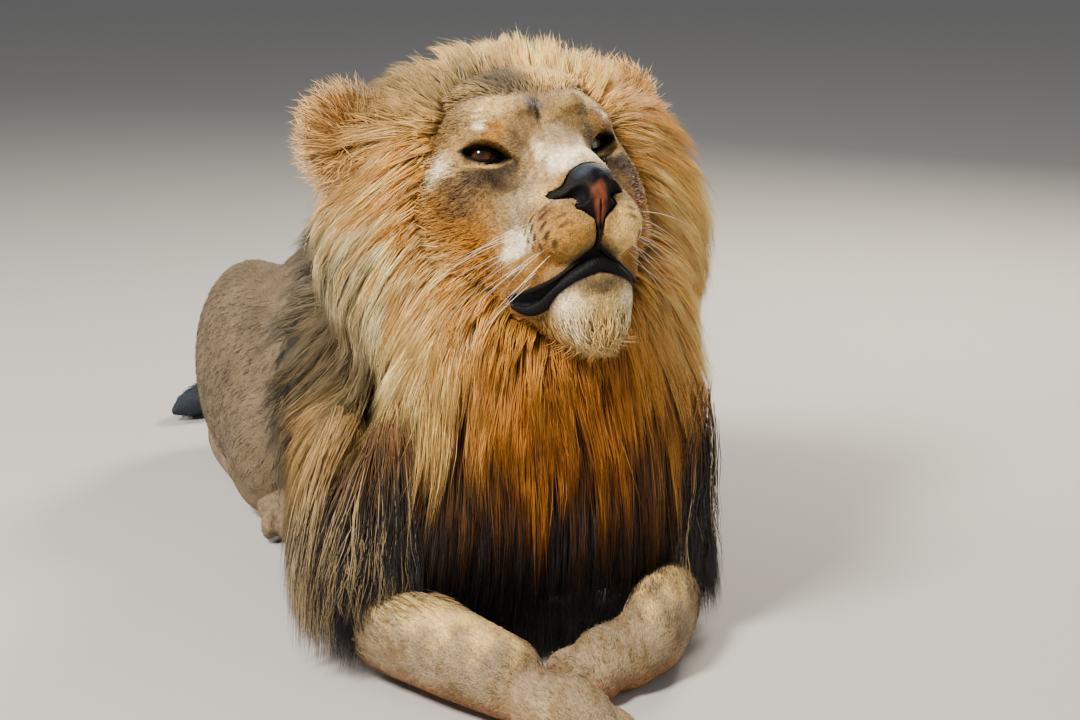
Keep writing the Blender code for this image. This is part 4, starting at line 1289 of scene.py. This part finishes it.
def body_coat():
    """Short tufts over trunk, haunches, limbs and tail, laid along the coat: shorter on the
    feet, longer at the mane's edge, and shaggy round the ears."""
    rng = np.random.default_rng(74)
    roots, normals = scattered(skin_points, skin_faces, body_density, rng)
    lengths = rng.uniform(0.015, 0.027, len(roots))
    small = (1.0 - ramp(roots[:, 2], 0.10, 0.14)) * ramp(-roots[:, 1], 0.20, 0.35)
    small = np.maximum(small, (1.0 - ramp(roots[:, 2], 0.05, 0.09)) * ramp(roots[:, 1], 0.1, 0.2))
    lengths = lengths * (1.0 - 0.50 * small)
    near = ramp(-outline.read(roots)[0], -0.05, 0.0) * (roots[:, 1] < 0.28)
    lengths = lengths + 0.030 * near * (1.0 - 0.7 * small)
    q = to_head(roots)
    ear = 1.0 * near_ear(q)
    spoke = unit(on_left(q) - EAR_MIDDLE) + (-0.3, 0.5, 0.3)
    spoke[:, 1] *= np.sign(q[:, 1])
    lengths = mix(lengths, rng.uniform(0.020, 0.040, len(roots)), ear)
    lie = mix(limb_lie(roots), spoke @ HEAD_AXES, ear)
    lie = lie + rng.normal(size=roots.shape) * (0.14 + 0.22 * ear)[:, None]
    spines = lying(roots, normals, lie, lengths, 0.030 + 0.10 * near + 0.20 * ear)
    colours = body_colours(roots) * rng.uniform(0.70, 1.30, (len(roots), 1))
    inside = ramp(-outline.read(roots)[0], -0.002, 0.010)
    mane_share = np.maximum(0.6 * near * (1.0 - 0.6 * small), inside)
    colours = mix(colours, mane_colours(roots), mane_share)
    colours = mix(colours, mane_colours(roots) * rng.uniform(0.5, 1.3, (len(roots), 1)), ear)
    # each tuft a little darker at its root and lighter at its tip: painted shade and painted light
    colours = np.clip(colours[:, None] * np.array([0.96, 1.0, 1.04])[None, :, None], 0, 1)
    tufts("body_hair", lifted(spines, 0.0015), normals, 0.0005 + 0.014 * lengths, colours,
          HAIR_FINISH)


def elbow_hair():
    """Long wavy locks that fall from under the mane's edge over the elbows: each a curve from
    inside the mane's outline, out over the elbow and down, with a wave along it. The points
    are (1 - t)^2 a + 2 t (1 - t) b + t^2 c."""
    rng = np.random.default_rng(76)
    strands, stations = 10, 9
    sides = np.repeat((-1.0, 1.0), ELBOW_LOCKS)
    count = len(sides)
    around = np.radians(np.where(sides < 0, rng.uniform(168, 310, count),
                                 rng.uniform(242, 300, count)))
    out = np.stack([np.cos(around), np.sin(around), np.zeros(count)], axis=-1)
    ring = np.stack([sides * 0.200 - 0.012, np.full(count, -0.285), np.zeros(count)], axis=-1)
    ring = ring + out * (0.078, 0.106, 0.0)
    top = outline.settle(ring + np.outer(rng.uniform(0.16, 0.36, count), (0, 0, 1)), 0.016)
    wide = outline.settle(ring + (0.0, 0.0, 0.115), rng.uniform(-0.008, 0.008, count))
    foot = wide + out * np.where(sides < 0, 0.002, 0.000)[:, None]
    foot[:, 2] = rng.uniform(0.010, 0.110, count) + 0.040 * ramp(-out[:, 1], 0.3, 1.0)
    bend = np.column_stack([wide[:, :2], 0.55 * top[:, 2] + 0.45 * foot[:, 2]])
    t = np.linspace(0.0, 1.0, stations)[None, :, None]
    lines = ((1.0 - t) ** 2 * top[:, None] + 2.0 * t * (1.0 - t) * bend[:, None]
             + t ** 2 * foot[:, None])
    phase = rng.uniform(0.0, 2.0 * math.pi, (count, 1, 1))
    along = np.cross(out, (0.0, 0.0, 1.0))[:, None]
    lines = lines + along * 0.006 * np.sin(phase + rng.uniform(6.0, 12.0, (count, 1, 1)) * t) * t
    each = np.repeat(np.arange(count), strands)
    total = len(each)
    spread = rng.normal(size=(total, 1, 1)) * 0.0085
    spines = lines[each] + along[each] * spread * (1.0 - 0.5 * t)
    spines = spines + out[each][:, None] * rng.normal(size=(total, 1, 1)) * 0.004
    phase = rng.uniform(0.0, 2.0 * math.pi, (total, 1, 1))
    spines = spines + along[each] * 0.0016 * np.sin(phase + 15.0 * t)
    chance = np.where(sides < 0, 0.26 + 0.34 * ramp(-out[:, 0], 0.2, 0.9), 0.12)
    pale = (rng.random(count) < chance)[each][:, None] & (rng.random((total, 1)) < 0.8)
    tint = np.where(pale, mix(CREAM * 0.50, GREY * 1.4, 0.5), BLACK * 3.0)
    tint = tint * rng.uniform(0.6, 1.3, (total, 1))
    start = mane_colours(lines[:, 0])[each] * rng.uniform(0.7, 1.1, (total, 1))
    turned = ramp(t + rng.uniform(-0.15, 0.15, (total, 1, 1)), 0.18, 0.50)
    tufts("elbow_hair", lifted(spines, HAIR_GAP), out[each], rng.uniform(0.0006, 0.0010, total),
          mix(start[:, None], tint[:, None], turned[..., 0]), HAIR_FINISH)


def tail_hair():
    """The tail's dark tuft: long hair from the tail's end, swept along it and closing."""
    rng = np.random.default_rng(75)
    count, samples, stations = TAIL_TUFTS, 40, 5
    line = through([(-0.105, 0.945, 0.022), (-0.150, 0.905, 0.026), (-0.200, 0.878, 0.026)],
                   samples)
    place = rng.integers(0, 36, count)
    around = rng.uniform(0.0, 2.0 * math.pi, count)
    ahead = unit(np.gradient(line, axis=0))[place]
    side = unit(np.cross(ahead, (0.0, 0.0, 1.0)))
    up = np.cross(side, ahead)
    normals = np.cos(around)[:, None] * side + np.sin(around)[:, None] * up
    thick = np.interp(place, [0, 10, 26, samples], [0.017, 0.029, 0.028, 0.012])
    roots = line[place] + normals * thick[:, None]
    lengths = rng.uniform(0.040, 0.075, count) * (1.0 - 0.35 * place / samples)
    t = np.linspace(0.0, 1.0, stations)[None, :, None]
    swell = np.sin(np.clip(t * 2.4, 0, math.pi * 0.75)) * 0.010
    spines = (roots[:, None] + ahead[:, None] * lengths[:, None, None] * t
              + normals[:, None] * swell * rng.uniform(0.4, 1.0, (count, 1, 1)))
    tint = SLATE * 0.5 * rng.uniform(0.5, 1.6, (count, 1))
    # each hair darker at its root and lighter at its tip: painted shade and painted light
    shade = np.linspace(0.7, 1.3, stations)[None, :, None]
    tufts("tail_hair", lifted(spines, 0.003), normals, rng.uniform(0.0009, 0.0015, count),
          tint[:, None] * shade, HAIR_FINISH)


def whiskers():
    """Whiskers: white, from rows on the whisker pads, out, back and down in long curves."""
    rng = np.random.default_rng(73)
    roots, lies, lengths = [], [], []
    for side in SIDES.values():
        for row in range(4):
            for place in range(3 + int(side < 0)):
                height = -0.094 - 0.0125 * row - 0.004 * place
                roots.append(np.array([0.110 - 0.014 * place, side * 0.05, height])
                             + rng.uniform(-0.002, 0.002, 3))
                lies.append([-0.30 - 0.22 * place + 0.10 * rng.normal(), side * 1.0,
                             -0.18 - 0.12 * row + 0.10 * rng.normal()])
                lengths.append(rng.uniform(0.07, 0.10) + 0.014 * place - 0.008 * row)
    roots = head_grid.settle(np.array(roots), steps=6)
    normals = unit(head_grid.read(roots)[1])
    lies = unit(unit(np.array(lies)) + normals * 0.25)
    t = np.linspace(0.0, 1.0, 9)[None, :, None]
    long = np.array(lengths)[:, None, None]
    spines = from_head(roots[:, None] - normals[:, None] * 0.002 + lies[:, None] * long * t
                       + np.array([-0.25, 0.0, -0.30]) * long * t ** 2)
    widths = np.full(len(roots), 0.00034)
    tufts("whiskers", spines, normals @ HEAD_AXES, widths, np.broadcast_to(IVORY, spines.shape),
          WHISKER_FINISH, 0.9)


# Separate pieces of the head

def closed_tube(path, radii, sides, normals, joined):
    """An oval profile carried along a path, its two radii from rows of two numbers. The path
    joins up with itself, or its ends are closed by fans round their middles."""
    ahead = unit(np.roll(path, -1, axis=0) - np.roll(path, 1, axis=0)
                 if joined else np.gradient(path, axis=0))
    side = unit(np.cross(ahead, normals))
    out = np.cross(side, ahead)
    angle = np.linspace(0.0, 2.0 * math.pi, sides, endpoint=False)
    points = (path[:, None] + side[:, None] * (radii[:, :1] * np.cos(angle))[..., None]
              + out[:, None] * (radii[:, 1:] * np.sin(angle))[..., None]).reshape(-1, 3)
    rows = len(path)
    i, j = np.meshgrid(np.arange(rows if joined else rows - 1), np.arange(sides), indexing="ij")
    here, beyond, beside = i * sides, (i + 1) % rows * sides, (j + 1) % sides
    faces = [np.stack([here + j, here + beside, beyond + beside, beyond + j], -1).reshape(-1, 4)]
    if not joined:
        count = len(points)
        k, after = np.arange(sides), (np.arange(sides) + 1) % sides
        faces.append(np.vstack([
            np.stack([after, k, np.full(sides, count)], axis=1),
            np.stack([count - sides + k, count - sides + after, np.full(sides, count + 1)],
                     axis=1)]))
        points = np.vstack([points, points[:sides].mean(axis=0), points[-sides:].mean(axis=0)])
    return points, faces


def eyeball(which):
    """An eyeball: rings round its line of sight, swollen a little over the iris; black pupil,
    dark amber iris with fine rays, black edge and a dark white."""
    side = SIDES[which]
    rings, sides = 40, 64
    polar = np.linspace(0.0, math.pi, rings + 1)[:, None]
    round_about = np.linspace(0.0, 2.0 * math.pi, sides, endpoint=False)[None]
    sight = unit(EYE_OUT + 0.10 * EYE_UP - side * 0.16 * EYE_ALONG)
    along = unit(np.cross(EYE_UP, sight))
    up = np.cross(sight, along)
    size = EYE_SIZE * (1.0 + 0.045 * np.exp(-(polar / 0.42) ** 4))
    flat = np.cos(polar)[..., None] * sight + np.sin(polar)[..., None] * (
        np.cos(round_about)[..., None] * along + np.sin(round_about)[..., None] * up)
    q = (EYE_CENTRE + flat * size[..., None]) * np.array([1.0, side, 1.0])
    rays = 0.75 + 0.5 * np.abs(np.sin(round_about * 23.0 + 3.0 * np.sin(round_about * 5.0)))
    polar = np.broadcast_to(polar, q.shape[:-1])
    colour = layered(np.broadcast_to(AMBER, q.shape) * rays[..., None],
                     (AMBER * 0.4, 1.0 - ramp(polar, 0.22, 0.40)),
                     (BLACK, 1.0 - ramp(polar, 0.18, 0.20)),
                     (BLACK, ramp(polar, 0.55, 0.62)),
                     (BROWN * 0.4, ramp(polar, 0.68, 0.78)))
    i, j = np.meshgrid(np.arange(rings), np.arange(sides), indexing="ij")
    a, b = i * sides + j, i * sides + (j + 1) % sides
    faces = np.stack([a, a + sides, b + sides, b], axis=-1).reshape(-1, 4)
    if side < 0:
        faces = faces[:, ::-1]
    piece = to_mesh("eye_%s_ball" % which, from_head(q.reshape(-1, 3)), [faces], EYE_FINISH)
    tinted(piece, colour.reshape(-1, 3))
    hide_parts("eye_%s" % which)


def lid_rims():
    """The black edge of the lids: an oval profile carried round each eye's almond, on a
    sphere just proud of the eyeball."""
    count = 56
    angle = np.linspace(0.0, 2.0 * math.pi, count, endpoint=False)
    rise = np.where(np.sin(angle) > 0, LID_RISE, LID_DROP) * np.sin(angle) * np.abs(np.sin(angle))
    along = (LID_WIDTH + 0.0006) * np.cos(angle)
    size = LID_SIZE - 0.0012
    out = np.sqrt(np.maximum(size ** 2 - along ** 2 - rise ** 2, (0.35 * size) ** 2))
    q = EYE_CENTRE + out[:, None] * EYE_OUT + along[:, None] * EYE_ALONG + rise[:, None] * EYE_UP
    normals = unit(q - EYE_CENTRE)
    radii = np.stack([0.0013 + 0.0009 * (rise > 0), np.full(count, 0.0017)], axis=1)
    for number, side in enumerate(SIDES.values()):
        flip = np.array([1.0, side, 1.0])
        points, faces = closed_tube(q * flip, radii, 8, normals * flip, True)
        to_mesh("lid_rim_%d" % (number + 1), from_head(points), faces, LIP_FINISH)


def lips():
    """The lips: black leathery edges, the upper a thin roll, the lower broad and soft, each
    narrowing to a point as (1 - t^14)^0.5 at the corners of the mouth."""
    rolls = {
        "lip_upper": (UPPER_LIP, (0.0022, 0.0022, 0.0024, 0.0026, 0.0028, 0.0026, 0.0022),
                      0.0, -0.0035),
        "lip_lower": (LOWER_LIP, (0.0076, 0.0070, 0.0056, 0.0052, 0.0062, 0.0060, 0.0036),
                      0.42, -0.002)}
    samples = 61
    close = np.sqrt(np.maximum(1.0 - np.abs(np.linspace(-1.0, 1.0, samples)) ** 14, 0.0)) + 0.02
    for name, (line, half, inward, forward) in rolls.items():
        rows = np.array(line)
        rows = rows + (np.array(LIPS) - rows) * inward + np.array([forward, 0.0, 0.0])
        both = np.vstack([rows[::-1] * (1, -1, 1), rows[1:]])
        widths = np.concatenate([half[::-1], half[1:]])
        smooth = through(np.column_stack([both, widths, widths]), samples)
        path, half_width = smooth[:, :3], smooth[:, 3] * close
        normals = unit(path - np.array([0.045, 0.0, -0.150]))
        radii = np.stack([half_width, half_width * 0.8], axis=1)
        points, faces = closed_tube(path, radii, 14, normals, False)
        to_mesh(name, from_head(points), faces, LIP_FINISH)


def nose():
    """The nose pad from its own fine grid: slate on top, reddish down the middle, black in
    the nostrils and on the wings."""
    grid = Grid((0.088, -0.056, -0.136), (0.162, 0.056, -0.026), NOSE_CUBE).fill(nose_form)
    points, faces = surface(grid)
    apart, height = np.abs(points[:, 1]), points[:, 2]
    drift = 0.004 * waves(points, 0.02, 41)
    top = ramp(height + drift, -0.056, -0.044) * (1.0 - ramp(apart, 0.014, 0.024))
    reach = np.interp(-height, (0.058, 0.068, 0.090, 0.108), (0.0115, 0.0075, 0.0062, 0.0030))
    column = np.exp(-((apart + 0.3 * drift) / reach) ** 4) * ramp(points[:, 0], 0.132, 0.142)
    column = column * ramp(-height + drift, 0.058, 0.067) * (1.0 - ramp(-height, 0.094, 0.108))
    red = REDDISH * (1.0 + 0.35 * waves(points, 0.010, 42))[:, None]
    groove = np.exp(-(apart / 0.0016) ** 2) * ramp(-height, 0.080, 0.086)
    piece = to_mesh("nose_pad", from_head(points), [faces], NOSE_FINISH)
    tinted(piece, layered(np.broadcast_to(BLACK * 0.4, points.shape), (SLATE * 0.8, top),
                          (red, 0.95 * column), (BLACK, 0.8 * groove)))
    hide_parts("nose")


# Stage, light and camera

LIGHTS = {  # place, power in watts, side of the square, colour
    "key": ((-2.2, -1.9, 2.9), 310.0, 0.8, (1.0, 0.95, 0.88)),
    "fill": ((2.4, -2.6, 1.2), 30.0, 2.5, (0.95, 0.97, 1.0)),
    "rim_right": ((2.0, 1.4, 2.2), 140.0, 0.8, (1.0, 0.9, 0.75)),
    "rim_left": ((-2.4, 1.6, 1.8), 70.0, 0.8, (1.0, 0.95, 0.9)),
}
LIGHT_TARGET = SHIFT + np.array([0.0, -0.2, 0.35])
FLOOR_REACH = 30.0


def lights():
    """Soft square lights aimed at the lion: a key high on its right, a fill and two rims."""
    for name, (place, power, size, colour) in LIGHTS.items():
        data = bpy.data.lights.new(name, "AREA")
        data.energy, data.size, data.color = power, size, colour
        light = bpy.data.objects.new(name, data)
        bpy.context.scene.collection.objects.link(light)
        light.location = Vector(place)
        aim = Vector(LIGHT_TARGET) - Vector(place)
        light.rotation_euler = aim.to_track_quat("-Z", "Y").to_euler()


def stage():
    """A pale floor under a pale grey-blue sky."""
    mesh = bpy.data.meshes.new("floor")
    corners = [(x * FLOOR_REACH, y * FLOOR_REACH, 0)
               for x, y in ((-1, -1), (1, -1), (1, 1), (-1, 1))]
    mesh.from_pydata(corners, [], [(0, 1, 2, 3)])
    floor = bpy.data.objects.new("floor", mesh)
    bpy.context.scene.collection.objects.link(floor)
    material, shader, _ = finish("floor_finish", 0.8)
    shader["Base Color"].default_value = (0.46, 0.44, 0.41, 1.0)
    mesh.materials.append(material)
    world = bpy.data.worlds.new("studio")
    world.use_nodes = True
    background = world.node_tree.nodes["Background"].inputs
    background["Color"].default_value = (0.80, 0.84, 0.90, 1.0)
    background["Strength"].default_value = 0.26
    bpy.context.scene.world = world


def camera():
    """The camera, placed in the working frame and turned by its yaw and pitch."""
    data = bpy.data.cameras.new("view")
    data.lens, data.sensor_width = CAMERA_LENS, CAMERA_SENSOR
    view = bpy.data.objects.new("view", data)
    bpy.context.scene.collection.objects.link(view)
    view.location = Vector(SHIFT + np.array(CAMERA_PLACE))
    view.rotation_euler = (math.radians(90.0 + CAMERA_PITCH), 0.0, math.radians(-CAMERA_YAW))
    bpy.context.scene.camera = view


# The pieces

HAIR_FINISH = tinted_finish("hair", 0.48, specular=0.30)
NOSE_FINISH = leather("nose_leather", 0.55, 620.0, 0.0012)
LIP_FINISH = leather("lip_leather", 0.58, 420.0, 0.0010, (0.002, 0.0018, 0.002))
EYE_FINISH = tinted_finish("eye_wet", 0.10, coat=0.6)
WHISKER_FINISH = whisker_finish()

outline = outline_of_mane().slopes()
skin_points, skin_faces, skin_colours, head_grid = skin()
lion_skin = to_mesh("lion_skin", skin_points, [skin_faces], coat_skin())
tinted(lion_skin, skin_colours)
FLESH = [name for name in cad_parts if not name.startswith(("eye_", "nose"))]
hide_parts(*FLESH)
mane()
face_coat()
body_coat()
elbow_hair()
tail_hair()
for which_eye in SIDES:
    eyeball(which_eye)
nose()
lid_rims()
lips()
whiskers()
stage()
lights()
camera()
